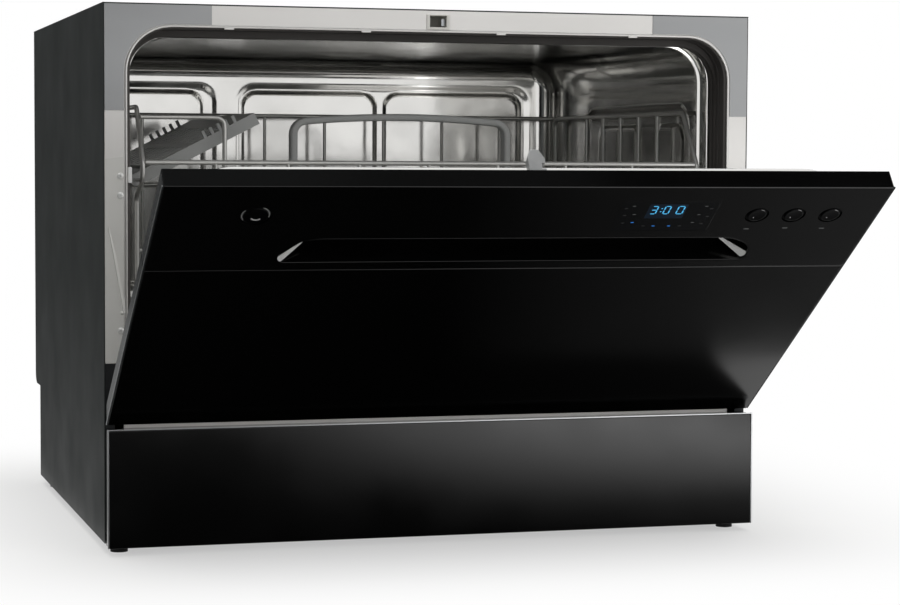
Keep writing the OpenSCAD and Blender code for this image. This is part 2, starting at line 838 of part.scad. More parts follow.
module cup_shelf()
    color("#6f7477") in_cabinet() translate([-rack_w, 0, shelf_z]) rotate([0, -shelf_tilt, 0]) {
        difference() {
            union() {
                slab([shelf_plate_start, shelf_y0, 2], [shelf_edge, shelf_y1, 5]);
                for (y = [shelf_y0, (shelf_y0 + shelf_y1) / 2 - 2, shelf_y1 - 4])
                    slab([0, y, -5], [shelf_edge, y + 4, 5]);
                slab([shelf_edge, shelf_y0, -5], [shelf_l, shelf_y1, 5]);
                // Teeth that hold glass stems
                for (u = [tooth_start:7:shelf_edge - 4], y = [shelf_y0, shelf_y1 - 4])
                    slab([u, y, 5], [u + 2.5, y + 4, 11]);
                for (y = clip_y) rod_y(0, y, y + clip_l, 0, 5);
            }
            for (y = clip_y) rod_y(0, y - 20, y + clip_l + 16, 0, grid_r + 0.06);
            for (y = [shelf_y0 + 16:22:shelf_y1 - 24], u = [20, 58])
                slab([u, y, 1], [u + 30, y + 10, 6]);
        }
    }

// ---------- Hinges and latch ----------

module hinge_brackets()
    color("#2b2c2d") in_cabinet() both_sides() {
        // Cover beside the lever's slot
        slab([arm_x + arm_t + 1, 0, frame_low_z], [inner_w - 0.2, sheet_t, bracket_top_z - 0.3]);
        // Plate along the side of the casing
        slab([plate_x, sheet_t, frame_low_z], [plate_x + 2, 30, bracket_top_z - 0.3]);
        slab([plate_x, 30, 95], [plate_x + 2, spring_anchor_y + 10, 125]);
        // Lug and pin
        slab([lug_x, hinge_y, hinge_z - 4], [plate_x, 20, hinge_z + 4]);
        rod_x(lug_x, plate_x, hinge_y, hinge_z, 5);
        rod_x(arm_x - 1, lug_x, hinge_y, hinge_z, pin_r);
        rod_x(arm_x - 2.5, arm_x - 1, hinge_y, hinge_z, 4.5);
        // Post that holds the fixed end of the spring
        rod_x(257.5, plate_x, spring_anchor_y, spring_z, stud_r);
    }

module door_springs()
    color("#8d9092") in_cabinet() both_sides() {
        x = arm_x - 2.5;
        for (y = [lever_end_y, spring_anchor_y])
            translate([x, y, spring_z]) rotate([0, 90, 0])
                rotate_extrude() translate([stud_r + 1.4, 0]) circle(r = 1);
        y0 = lever_end_y + stud_r + 2;
        y1 = spring_anchor_y - stud_r - 2;
        rod_y(x, y0, y1, spring_z, 1);
        rod_y(x + 1.5, y0 + 12, y1 - 12, spring_z, 4.5);
    }

module hinge_arms()
    color("#a9acae") on_door() both_sides() {
        difference() {
            along_x(arm_x, arm_x + arm_t) {
                translate([hinge_y, hinge_z]) circle(r = arm_eye_r);
                translate([hinge_y - 4, hinge_z]) square([8, 110]);
                translate([hinge_y, hinge_z]) rotate(lever_shut_angle) {
                    translate([0, -4]) square([lever_l, 8]);
                    translate([lever_l, 0]) circle(r = 5);
                }
            }
            rod_x(arm_x - 1, arm_x + arm_t + 1, hinge_y, hinge_z, pin_r + 0.05);
        }
        rod_x(arm_x - 4, arm_x, hinge_y + lever_l * cos(lever_shut_angle),
              hinge_z + lever_l * sin(lever_shut_angle), stud_r);
    }

module latch_catch()
    color("#c8c9c9") in_cabinet() difference() {
        union() {
            slab([-9, sheet_t, 421.5], [15, 26, 435.5]);
            slab([-latch_w - 1.8, -1, latch_low_z - 1.8], [latch_w + 1.8, sheet_t, latch_high_z + 1.8]);
            slab([-latch_w - 3.4, -1, latch_low_z - 2.8], [latch_w + 3.4, 0, latch_high_z + 2.8]);
        }
        slab([-latch_w - 0.8, -2, latch_low_z - 1], [latch_w + 0.8, 24.5, latch_high_z + 2]);
        slab([-latch_w, 2.5, latch_low_z - 1], [13.8, 9, latch_high_z + 2]);
    }

module latch_bolt()
    color("#9fa3a6") in_cabinet()
        slab([3.9, 4, latch_low_z + 0.4], [9.2, 7, latch_high_z - 0.4]);

module latch_hook()
    color("#b7b9ba") on_door() difference() {
        along_z(latch_low_z, latch_high_z)
            polygon([[-latch_w, -2], [latch_w, -2], [latch_w, 12], [latch_w - 3.4, hook_tip_y],
                     [-latch_w + 3.4, hook_tip_y], [-latch_w, 12]]);
        // Notch for the bolt
        slab([3.4, 3, latch_low_z - 1], [latch_w + 1, 8, latch_high_z + 1]);
    }

// ---------- Door ----------

// A shallow tray, open at the back
module door_tray(z0, z1, front_t, wall_low, wall_high)
    difference() {
        slab([-shell_w, door_front_y, z0], [shell_w, door_back_y, z1]);
        slab([-shell_w + skin_t, door_front_y + front_t, z0 + wall_low],
             [shell_w - skin_t, door_back_y + 1, z1 - wall_high]);
    }

module door_panel()
    color("#17181a") on_door() difference() {
        door_tray(door_bottom, panel_bottom - 0.5, skin_t, skin_t, -1);
        // The lower back corner is cut away to clear the frame, and the ends to clear the hinges
        slab([-half_w, door_back_y - 4, door_bottom - 1], [half_w, door_back_y + 1, door_bottom + 4]);
        both_sides() slab([arm_x - 3, door_front_y + skin_t, door_bottom - 1],
                          [shell_w - skin_t, door_back_y + 1, door_bottom + 3]);
    }

// The pocket's opening: small round corners below, large round shoulders above
module pocket_outline(grow) {
    w = pocket_w + grow;
    low = pocket_low_z - grow;
    high = pocket_high_z + grow;
    low_r = pocket_low_r + grow;
    high_r = pocket_high_r + grow;
    shoulder_z = high - high_r;
    translate([pocket_x, 0]) {
        translate([-w, low + low_r]) square([2 * w, shoulder_z - low - low_r]);
        translate([-w + low_r, low]) square([2 * (w - low_r), shoulder_z - low]);
        translate([-w + high_r, low]) square([2 * (w - high_r), high - low]);
        for (side = [-1, 1]) {
            translate([side * (w - low_r), low + low_r]) circle(r = low_r);
            // Only the upper half of each shoulder, because the lower would pass the low edge
            intersection() {
                translate([side * (w - high_r), shoulder_z]) circle(r = high_r);
                translate([-w - 1, shoulder_z]) square([2 * w + 2, high_r + 1]);
            }
        }
    }
}

module control_panel()
    color("#141516") on_door() difference() {
        door_tray(panel_bottom, door_top, panel_skin_t, -1, panel_skin_t);
        along_y(door_front_y - 1, door_front_y + panel_skin_t + 1) pocket_outline(0);
        slab([window_x, door_front_y - 1, window_z],
             [window_x + window_w, door_front_y + 3, window_z + window_h]);
        rod_y(power_x, door_front_y - 1, door_front_y + 3, controls_z, power_r + 0.3);
        for (i = [0:2])
            rod_y(first_button_x + i * button_pitch, door_front_y - 1, door_front_y + 3, controls_z,
                  button_r + 0.3);
    }

module handle_pocket()
    color("#0f1011") on_door() difference() {
        union() {
            along_y(door_front_y, pocket_back_y + 1.5) pocket_outline(-0.1);
            along_y(door_front_y + panel_skin_t, door_front_y + 3.5) pocket_outline(1.6);
        }
        along_y(door_front_y - 1, pocket_back_y) pocket_outline(-1.6);
    }

module door_liner()
    color("#bfc1c1") on_door() difference() {
        union() {
            along_y(door_back_y, door_back_y + 1)
                rounded(-flange_w, flange_w, flange_low_z, flange_top, 8);
            along_y(door_back_y, liner_face_y)
                rounded(-liner_w, liner_w, liner_low_z, liner_top, 32);
        }
        along_y(door_back_y - 1, liner_face_y - 1)
            rounded(-liner_w + 1, liner_w - 1, liner_low_z + 1, liner_top - 1, 31);
        // Opening for the dispenser
        slab([dispenser_x0 + 4, 0, dispenser_z0 + 4], [dispenser_x1 - 4, 30, dispenser_z1 - 4]);
    }

module door_edge_trims()
    color("#c9cacb") on_door() both_sides()
        slab([shell_w, door_front_y, door_bottom], [half_w, door_front_y + 2.5, door_top]);

module display_window()
    color("#1b2126") on_door()
        slab([window_x + 0.2, door_front_y, window_z + 0.2],
             [window_x + window_w - 0.2, door_front_y + panel_skin_t, window_z + window_h - 0.2]);

module display_board()
    color("#2d5a3a") on_door() {
        slab([-225, board_y, window_z], [250, board_y + 1.6, window_z + window_h]);
        slab([window_x + 4, door_front_y + panel_skin_t + 0.4, window_z + 4],
             [window_x + window_w - 4, board_y, window_z + window_h - 4]);
    }

// A button: the cap that shows and the collar that keeps it in the panel
module button(x, r)
    on_door() {
        rod_y(x, door_front_y - 0.5, door_front_y + 2.6, controls_z, r);
        rod_y(x, door_front_y + 2.6, door_front_y + 3.8, controls_z, r + 1.6);
    }
module power_button() color("#1d1f20") button(power_x, power_r);
module programme_button(i) color("#1d1f20") button(first_button_x + i * button_pitch, button_r);
module programme_button_1() programme_button(0);
module programme_button_2() programme_button(1);
module programme_button_3() programme_button(2);

module dispenser_body()
    color("#50555a") on_door() difference() {
        union() {
            slab([dispenser_x0 + 4.2, 0, dispenser_z0 + 4.2],
                 [dispenser_x1 - 4.2, liner_face_y, dispenser_z1 - 4.2]);
            slab([dispenser_x0, liner_face_y, dispenser_z0],
                 [dispenser_x1, dispenser_face_y, dispenser_z1]);
            // Ears that hold the lid's pins
            for (x = [lid_x0 - 3.2, lid_x1 + 0.4])
                slab([x, dispenser_face_y, lid_hinge_z - 2.2],
                     [x + 2.8, lid_hinge_y + 1.6, lid_hinge_z + 2.2]);
        }
        // Detergent cup
        slab([-56, 5, 222], [24, dispenser_face_y + 1, 288]);
        // Mouth of the rinse aid tank
        rod_y(cap_x, 5, dispenser_face_y + 1, cap_z, cap_r - 3);
        rod_x(lid_x0 - 4, lid_x1 + 4, lid_hinge_y, lid_hinge_z, lid_pin_r + 0.05);
    }

module dispenser_lid()
    color("#666c72") on_door() {
        slab([lid_x0, dispenser_face_y + 0.3, lid_hinge_z], [lid_x1, dispenser_face_y + 2, 293]);
        rod_x(lid_x0 - 3, lid_x1 + 3, lid_hinge_y, lid_hinge_z, lid_pin_r);
        // Finger tab
        slab([-22, dispenser_face_y + 0.3, 293], [-10, dispenser_face_y + 2, 296]);
    }

module rinse_cap()
    color("#2f3335") on_door() {
        rod_y(cap_x, dispenser_face_y + 0.3, dispenser_face_y + 1.6, cap_z, cap_r);
        slab([cap_x - 13, dispenser_face_y + 1.6, cap_z - 2.5],
             [cap_x + 13, dispenser_face_y + 2.6, cap_z + 2.5]);
        rod_y(cap_x, 8, dispenser_face_y + 0.3, cap_z, cap_r - 3.4);
    }

module door_screws()
    color("#dadada") on_door() both_sides()
        for (z = door_screw_z)
            rod_y(261, door_back_y + 1, door_back_y + 1.9, z, 3);

// ---------- Placing ----------

base_tray();
left_side_panel();
right_side_panel();
top_panel();
rear_panel();
tub();
tub_floor();
front_frame();
corner_plates();
tub_seal();
plinth();
plinth_trim();
feet();
hinge_brackets();
door_springs();
latch_catch();
latch_bolt();
sump();
wash_pump();
drain_pump();
softener_tank();
salt_cap();
inlet_valve();
drain_spigot();
cable_gland();
air_break();
power_board();
casing_screws();
spray_hub();
spray_arm();
filter_plate();
filter_cup();
rack_floor();
rack_sides();
rack_ends();
plate_tines();
rack_wheel_1();
rack_wheel_2();
rack_wheel_3();
rack_wheel_4();
cutlery_basket();
basket_handle();
cup_shelf();
door_panel();
control_panel();
handle_pocket();
door_liner();
door_edge_trims();
display_window();
display_board();
power_button();
programme_button_1();
programme_button_2();
programme_button_3();
hinge_arms();
latch_hook();
dispenser_body();
dispenser_lid();
rinse_cap();
door_screws();
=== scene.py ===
import json
import math

import bmesh
import bpy
from mathutils import Matrix, Vector


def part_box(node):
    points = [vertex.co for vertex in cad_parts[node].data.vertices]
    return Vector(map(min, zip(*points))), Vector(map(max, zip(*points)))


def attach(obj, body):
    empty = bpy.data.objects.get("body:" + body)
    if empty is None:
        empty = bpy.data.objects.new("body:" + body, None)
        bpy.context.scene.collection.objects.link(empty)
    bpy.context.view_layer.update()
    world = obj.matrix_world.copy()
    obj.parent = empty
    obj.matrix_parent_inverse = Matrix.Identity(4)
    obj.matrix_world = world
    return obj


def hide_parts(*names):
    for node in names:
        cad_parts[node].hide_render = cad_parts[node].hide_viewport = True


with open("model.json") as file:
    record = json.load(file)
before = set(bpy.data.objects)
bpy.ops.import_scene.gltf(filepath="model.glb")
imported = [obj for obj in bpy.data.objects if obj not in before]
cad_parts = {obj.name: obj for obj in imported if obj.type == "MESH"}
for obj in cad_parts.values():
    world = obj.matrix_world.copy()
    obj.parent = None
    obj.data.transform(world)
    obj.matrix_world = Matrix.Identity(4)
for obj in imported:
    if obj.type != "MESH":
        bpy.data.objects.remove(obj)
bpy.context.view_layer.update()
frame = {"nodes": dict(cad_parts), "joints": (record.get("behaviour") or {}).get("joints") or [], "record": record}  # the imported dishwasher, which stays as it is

scene = bpy.context.scene
mm = 0.001

# Lengths are in millimetres from the face of the front frame, and these matrices take them to the frame
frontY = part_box("top_panel")[0].y
inCabinet = Matrix.Translation((0, frontY, 0)) @ Matrix.Scale(mm, 4)
doorJoint = next(j for j in frame["joints"] if j["name"] == "door_hinge")
hingeAt = Vector(doorJoint["pos_m"])
doorOpen = math.radians(-doorJoint["range_deg"][0])
onDoor = (Matrix.Translation(hingeAt) @ Matrix.Rotation(doorOpen, 4, "X")
          @ Matrix.Translation(-hingeAt) @ inCabinet)
axisTurn = {  # a flat outline and its thickness, turned so that the thickness lies along an axis
    "X": Matrix(((0, 0, 1, 0), (1, 0, 0, 0), (0, 1, 0, 0), (0, 0, 0, 1))),
    "Y": Matrix(((1, 0, 0, 0), (0, 0, -1, 0), (0, 1, 0, 0), (0, 0, 0, 1))),
    "Z": Matrix.Identity(4),
}
slotOf = {part["node"]: part["material_slot"] for part in frame["record"]["subparts"]}
bodyOf = {node: body for body, nodes in frame["record"]["behaviour"]["bodies"].items() for node in nodes}


# ---- small helpers ----

def srgb(code):  # a hex colour as the linear values that shaders take
    parts = [int(code[i:i + 2], 16) / 255 for i in (1, 3, 5)]
    return tuple(p / 12.92 if p <= 0.04045 else ((p + 0.055) / 1.055) ** 2.4 for p in parts) + (1.0,)


def addNode(tree, kind, settings=None, links=None):  # a node with its settings, and what feeds it
    node = tree.nodes.new(kind)
    for key, value in (settings or {}).items():
        if isinstance(key, str) and key in node.bl_rna.properties:
            setattr(node, key, value)
        else:
            node.inputs[key].default_value = value
    for key, socket in (links or {}).items():
        tree.links.new(socket, node.inputs[key])
    return node


def roundLoop(corners, steps=8, splits=None):  # a closed outline, each corner given as x, z and its radius
    points = []
    for i, (x, z, radius) in enumerate(corners):
        here = Vector((x, z))
        before = (Vector(corners[i - 1][:2]) - here).normalized()
        after = (Vector(corners[(i + 1) % len(corners)][:2]) - here).normalized()
        if radius <= 0:
            points.append(here)
        else:
            half = before.angle(after) / 2
            centre = here + (before + after).normalized() * radius / math.sin(half)
            start = here + before * radius / math.tan(half) - centre
            end = here + after * radius / math.tan(half) - centre
            sweep = math.pi - 2 * half
            for k in range(steps + 1):
                t = k / steps
                points.append(centre + (start * math.sin((1 - t) * sweep) + end * math.sin(t * sweep))
                              / math.sin(sweep))
        if splits and splits.get(i):
            points.append((i, splits[i]))  # shares of the straight side that follows
    filled = []
    for k, point in enumerate(points):
        if isinstance(point, tuple):
            start = filled[-1]
            following = [p for p in points[k + 1:] + points[:1] if not isinstance(p, tuple)][0]
            filled += [start.lerp(following, share) for share in point[1]]
        else:
            filled.append(point)
    return [(p.x, p.y) for p in filled]


def box2d(x0, x1, z0, z1, radius=0.0, steps=6):
    return roundLoop([(x0, z0, radius), (x1, z0, radius), (x1, z1, radius), (x0, z1, radius)], steps)


def circle(x, z, radius, count=32):
    return [(x + radius * math.cos(2 * math.pi * k / count), z + radius * math.sin(2 * math.pi * k / count))
            for k in range(count)]


def plain(holder):  # an object's evaluated shape as a plain mesh; the object goes
    bpy.context.view_layer.update()
    mesh = bpy.data.meshes.new_from_object(holder.evaluated_get(bpy.context.evaluated_depsgraph_get()))
    source = holder.data
    bpy.data.objects.remove(holder)
    if isinstance(source, bpy.types.Curve):
        bpy.data.curves.remove(source)
    return mesh


def linked(name, data):
    holder = bpy.data.objects.new(name, data)
    scene.collection.objects.link(holder)
    return holder


def plate(loops, low, high, bevel=0.2, axis="Y"):  # sheet cut to an outline, with holes, and rounded edges
    curve = bpy.data.curves.new("outline", "CURVE")
    curve.dimensions, curve.fill_mode = "2D", "BOTH"
    curve.extrude = (high - low) / 2 - bevel
    curve.bevel_depth, curve.bevel_resolution, curve.offset = bevel, 1, -bevel
    for loop in loops:
        spline = curve.splines.new("POLY")
        spline.points.add(len(loop) - 1)
        for point, (x, y) in zip(spline.points, loop):
            point.co = (x, y, 0, 1)
        spline.use_cyclic_u = True
    mesh = plain(linked("outline", curve))
    middle = (low + high) / 2
    mesh.transform(axisTurn[axis])
    mesh.transform(Matrix.Translation({"X": (middle, 0, 0), "Y": (0, middle, 0), "Z": (0, 0, middle)}[axis]))
    return mesh


def meshOf(points, faces):
    mesh = bpy.data.meshes.new("shape")
    mesh.from_pydata([tuple(p) for p in points], [], faces)
    return mesh


def quads(count, n, closed=False):  # the faces between rings of n points
    return [(k * n + i, k * n + (i + 1) % n, (k + 1) % count * n + (i + 1) % n, (k + 1) % count * n + i)
            for k in range(count if closed else count - 1) for i in range(n)]


def skinned(rings, capped=False):  # a skin over rings of points, its ends closed or open
    n = len(rings[0])
    points = [p for ring in rings for p in ring]
    ends = [tuple(range(n)), tuple(len(points) - n + i for i in range(n))] if capped else []
    return meshOf(points, quads(len(rings), n) + ends)


def editable(*meshes):
    work = bmesh.new()
    for mesh in meshes:
        work.from_mesh(mesh)
    work.verts.ensure_lookup_table()
    return work


def finished(work):
    mesh = bpy.data.meshes.new("shape")
    work.to_mesh(mesh)
    work.free()
    return mesh


def joined(*meshes):
    return finished(editable(*meshes))


def outward(mesh):  # a closed mesh with its doubles merged and its faces turned out
    work = editable(mesh)
    bmesh.ops.remove_doubles(work, verts=work.verts, dist=0.001)
    bmesh.ops.recalc_face_normals(work, faces=work.faces)
    return finished(work)


def edgeLoop(work, points):  # new edges round a closed line of points
    loop = [work.verts.new(p) for p in points]
    return [work.edges.new((loop[i], loop[(i + 1) % len(loop)])) for i in range(len(loop))]


def lastRim(work, n):  # the edges round the last ring of a skin
    rim = list(work.verts)[-n:]
    return [work.edges.get((rim[i], rim[(i + 1) % n])) for i in range(n)]


def fillIn(work, edges, facing):  # flat faces between closed loops, all turned one way
    new = bmesh.ops.triangle_fill(work, use_beauty=True, edges=edges)["geom"]
    for face in [f for f in new if isinstance(f, bmesh.types.BMFace)]:
        if face.normal.dot(Vector(facing)) < 0:
            face.normal_flip()


def sweep(profile, path):  # a closed profile of out and y, along a path of x, z and the way out
    rings = [[(x + out * nx, y, z + out * nz) for out, y in profile] for x, z, nx, nz in path]
    return outward(skinned(rings, True))


def lathe(profile, at, axis, count=48):  # a closed profile of radius and height, turned about an axis
    turns = [2 * math.pi * k / count for k in range(count)]
    points = [(r * math.cos(a), r * math.sin(a), t) for a in turns for r, t in profile]
    mesh = meshOf(points, quads(count, len(profile), True))
    mesh.transform(Matrix.Translation(at) @ axisTurn[axis])
    return outward(mesh)


def worked(mesh, steps):  # the mesh after some modifiers, as a plain mesh
    holder = linked("work", mesh)
    for kind, settings in steps:
        modifier = holder.modifiers.new(kind, kind)
        for key, value in settings.items():
            setattr(modifier, key, value)
    return plain(holder)


def grown(mesh, tree, sizes):  # the mesh that a Geometry Nodes tree makes, its inputs set by identifier first
    holder = linked("work", mesh)
    modifier = holder.modifiers.new(tree.name, "NODES")
    modifier.node_group = tree
    for item in tree.interface.items_tree:
        if item.item_type == "SOCKET" and item.in_out == "INPUT" and item.name in sizes:
            modifier[item.identifier] = sizes[item.name]
    return plain(holder)


def addPiece(name, mesh, where, node, material=None, replaced=True, smooth=35, evened=True):
    mesh.transform(where)
    mesh.name = name
    mesh.materials.clear()
    mesh.materials.append(material or finishes[slotOf[node]])
    mesh.shade_smooth()
    mesh.set_sharp_from_angle(angle=math.radians(smooth))
    piece = linked(name, mesh)
    if evened:  # flat faces keep flat shading beside their round edges
        piece.modifiers.new("evened", "WEIGHTED_NORMAL").keep_sharp = True
    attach(piece, bodyOf[node])
    if replaced:
        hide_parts(node)
    return piece


# ---- camera ----

view = {"place": (-545.54, -1892.45, 314.68), "yaw": 0.28612, "pitch": -0.0594, "roll": 0.00489,
        "focal": 2389.83, "imageWidth": 900, "sensor": 36.0}
ahead = Vector((math.sin(view["yaw"]) * math.cos(view["pitch"]),
                math.cos(view["yaw"]) * math.cos(view["pitch"]), math.sin(view["pitch"])))
level = Vector((math.cos(view["yaw"]), -math.sin(view["yaw"]), 0))
upward = level.cross(ahead)
aside = level * math.cos(view["roll"]) + upward * math.sin(view["roll"])
upward = aside.cross(ahead)
cameraData = bpy.data.cameras.new("camera")
cameraData.sensor_width = view["sensor"]
cameraData.lens = view["focal"] * view["sensor"] / view["imageWidth"]
cameraData.clip_end = 50
camera = linked("camera", cameraData)
camera.matrix_world = Matrix.Translation(inCabinet @ Vector(view["place"])) @ Matrix(
    (aside, upward, -ahead)).transposed().to_4x4()
scene.camera = camera
scene.view_settings.view_transform = "Standard"

# ---- studio ----

studio = {"worldGrey": "#bcbcbc", "floorTone": "#e4e4e2", "floorGlow": 0.42, "fade": (-0.12, 0.38),
          "floorHalf": 9,
          "footprint": ((0.0, 0.14), (0.24, 0.22)),  # middle and half size of the floor's painted shade
          "lamps": [  # name, place in metres, width, height, watts, point that it faces
              ("topLamp", (0.0, -0.2, 2.4), 2.4, 2.0, 42, (0, 0, 0.2)),
              ("rightLamp", (1.9, -1.9, 1.0), 1.0, 1.6, 5, (0.1, -0.1, 0.15))],
          "cards": [  # name, tone, lowest and highest corner in metres
              ("leftCard", "#4a4c4c", (-0.78, -1.2, 0), (-0.78, 7, 1.2)),
              ("leftFloorCard", "#939494", (-1.5, -0.3, mm), (-0.3, 7, mm)),
              ("frontCard", "#030303", (-1.5, -1.8, 0), (-0.42, -1.8, 1.5)),
              ("overheadLeft", "#606262", (-0.6, -1.4, 1.25), (0.1, -0.3, 1.25)),
              ("overheadMiddle", "#454646", (0.1, -1.4, 1.25), (0.4, -0.3, 1.25)),
              ("overheadRight", "#101010", (0.4, -1.4, 1.25), (1, -0.3, 1.25))],
          "floorCard": {"low": (-1.2, -2.0, mm), "high": (0.62, -0.11, mm), "x": (0.03, 0.55),
                        "y": (-0.3, -0.8), "nearShare": 0.045, "strength": 4.0}}


def blankMaterial(name):
    material = bpy.data.materials.new(name)
    material.use_nodes = True
    material.node_tree.nodes.clear()
    return material


def seenRays(tree):  # 1 for what the camera sees, by itself, in metal or through glass
    path = addNode(tree, "ShaderNodeLightPath")
    share = path.outputs["Is Camera Ray"]
    for kind in ("Is Glossy Ray", "Is Transmission Ray"):
        share = addNode(tree, "ShaderNodeMath", {"operation": "MAXIMUM"},
                        {0: share, 1: path.outputs[kind]}).outputs[0]
    return share


def addBoard(name, low, high, shade, mirrored=True):  # a mirrored board shows in reflections alone
    side = 1 if low[0] == high[0] else 0
    second, fourth = list(low), list(high)
    second[side], fourth[side] = high[side], low[side]
    board = linked(name, meshOf([low, second, high, fourth], [(0, 1, 2, 3)]))
    board.data.materials.append(shade)
    if mirrored:
        for kind in ("camera", "diffuse", "shadow", "transmission", "volume_scatter"):
            setattr(board, "visible_" + kind, False)


scene.world = bpy.data.worlds.new("studio")
scene.world.use_nodes = True
sky = scene.world.node_tree
sky.nodes.clear()
greySky = addNode(sky, "ShaderNodeBackground", {"Color": srgb(studio["worldGrey"])})
whiteSky = addNode(sky, "ShaderNodeBackground", {"Color": (1, 1, 1, 1)})
mixed = addNode(sky, "ShaderNodeMixShader", None,
                {0: seenRays(sky), 1: greySky.outputs[0], 2: whiteSky.outputs[0]})
addNode(sky, "ShaderNodeOutputWorld", None, {"Surface": mixed.outputs[0]})

for name, place, width, height, watts, towards in studio["lamps"]:
    lamp = bpy.data.lights.new(name, "AREA")
    lamp.shape, lamp.size, lamp.size_y, lamp.energy = "RECTANGLE", width, height, watts
    holder = linked(name, lamp)
    facing = (Vector(towards) - Vector(place)).to_track_quat("-Z", "Y")
    holder.matrix_world = Matrix.Translation(place) @ facing.to_matrix().to_4x4()
    holder.visible_camera = False
    holder.visible_glossy = False  # the cards and the world are what shiny surfaces mirror

# A white floor for the eye; its glow fades out under and near the dishwasher as a painted shade, where the
# floor also keeps its real shadow
paleFloor = blankMaterial("paleStudioFloor")
tree = paleFloor.node_tree
middle, half = studio["footprint"]
away = addNode(tree, "ShaderNodeTexCoord").outputs["Object"]
for operation, value in (("SUBTRACT", (*middle, 0)), ("ABSOLUTE", (0, 0, 0)), ("SUBTRACT", (*half, 0)),
                         ("MAXIMUM", (0, 0, 0))):
    away = addNode(tree, "ShaderNodeVectorMath", {"operation": operation, 1: value}, {0: away}).outputs[0]
reach = addNode(tree, "ShaderNodeVectorMath", {"operation": "LENGTH"}, {0: away})
# painted shade: the glow drops towards the dishwasher's footprint
fade = addNode(tree, "ShaderNodeMapRange", {
    "interpolation_type": "SMOOTHERSTEP", "From Min": studio["fade"][0], "From Max": studio["fade"][1],
    "To Min": studio["floorGlow"], "To Max": 1.0}, {"Value": reach.outputs["Value"]})
share = addNode(tree, "ShaderNodeMath", {"operation": "MULTIPLY"},
                {0: seenRays(tree), 1: fade.outputs["Result"]})
matt = addNode(tree, "ShaderNodeBsdfDiffuse", {"Color": srgb(studio["floorTone"])})
glow = addNode(tree, "ShaderNodeEmission", {"Color": (1, 1, 1, 1)})
mixed = addNode(tree, "ShaderNodeMixShader", None,
                {0: share.outputs[0], 1: matt.outputs[0], 2: glow.outputs[0]})
addNode(tree, "ShaderNodeOutputMaterial", None, {"Surface": mixed.outputs[0]})
half = studio["floorHalf"]
addBoard("floor", (-half, -half, 0), (half, half, 0), paleFloor, False)

for name, tone, low, high in studio["cards"]:
    paint = blankMaterial(name + "Paint")
    glow = addNode(paint.node_tree, "ShaderNodeEmission", {"Color": srgb(tone)})
    addNode(paint.node_tree, "ShaderNodeOutputMaterial", None, {"Surface": glow.outputs[0]})
    addBoard(name, low, high, paint)

# A glowing board that reflections alone show, a painted reflection of the floor in the plinth and the door:
# dark on the left and close by, bright further out
near = studio["floorCard"]
floorShade = blankMaterial("mirroredFloor")
tree = floorShade.node_tree
here = addNode(tree, "ShaderNodeTexCoord").outputs["Object"]
place = addNode(tree, "ShaderNodeSeparateXYZ", None, {0: here})
rightward = addNode(tree, "ShaderNodeMapRange", {"From Min": near["x"][0], "From Max": near["x"][1]},
                    {"Value": place.outputs["X"]})
outwards = addNode(tree, "ShaderNodeMapRange", {"From Min": near["y"][0], "From Max": near["y"][1],
                                                "To Min": near["nearShare"]}, {"Value": place.outputs["Y"]})
both = addNode(tree, "ShaderNodeMath", {"operation": "MULTIPLY"},
               {0: rightward.outputs[0], 1: outwards.outputs[0]})
lit = addNode(tree, "ShaderNodeMath", {"operation": "MULTIPLY", 1: near["strength"]}, {0: both.outputs[0]})
shine = addNode(tree, "ShaderNodeEmission", {"Color": (1, 1, 1, 1)}, {"Strength": lit.outputs[0]})
addNode(tree, "ShaderNodeOutputMaterial", None, {"Surface": shine.outputs[0]})
addBoard("floorCard", near["low"], near["high"], floorShade)
print("camera, lamps, cards and floor are set")

# ---- finishes ----


def newFinish(name, roughness, metallic=0.0, specular=0.5, grain=None, rough=None, tint=None,
              stretch=(1, 1, 1)):
    # Relief, patches of roughness and patches of colour each have a size in millimetres
    material = bpy.data.materials.new(name)
    material.use_nodes = True
    tree = material.node_tree
    shader = tree.nodes["Principled BSDF"]
    for key, value in (("Roughness", roughness), ("Metallic", metallic), ("Specular IOR Level", specular)):
        shader.inputs[key].default_value = value
    if not tint:
        return material
    here = addNode(tree, "ShaderNodeTexCoord").outputs["Object"]
    stretched = addNode(tree, "ShaderNodeMapping", {"Scale": stretch}, {"Vector": here}).outputs[0]
    fed = {}
    for socket, pattern, detail, place in (("Normal", grain, 3.0, stretched),
                                           ("Roughness", rough, 2.0, stretched),
                                           ("Base Color", tint, 2.0, here)):
        if pattern:
            fed[socket] = addNode(tree, "ShaderNodeTexNoise",
                                  {"Scale": 1 / (pattern[0] * mm), "Detail": detail},
                                  {"Vector": place}).outputs[0]
    if grain:
        bump = addNode(tree, "ShaderNodeBump", {"Distance": grain[1] * mm, "Strength": 1.0},
                       {"Height": fed["Normal"]})
        fed["Normal"] = bump.outputs[0]
    if rough:
        spread = addNode(tree, "ShaderNodeMapRange", {"From Min": 0.3, "From Max": 0.7, "To Min": rough[1],
                                                      "To Max": rough[2]}, {"Value": fed["Roughness"]})
        fed["Roughness"] = spread.outputs[0]
    blend = addNode(tree, "ShaderNodeMix", {"data_type": "RGBA", 6: srgb(tint[1]), 7: srgb(tint[2])},
                    {0: fed["Base Color"]})
    fed["Base Color"] = blend.outputs[2]
    for socket, source in fed.items():
        tree.links.new(source, shader.inputs[socket])
    return material


def litFinish(name, roughness, base, glow, strength):
    material = newFinish(name, roughness)
    sockets = material.node_tree.nodes["Principled BSDF"].inputs
    sockets["Base Color"].default_value = srgb(base)
    sockets["Emission Color"].default_value = srgb(glow)
    sockets["Emission Strength"].default_value = strength
    return material


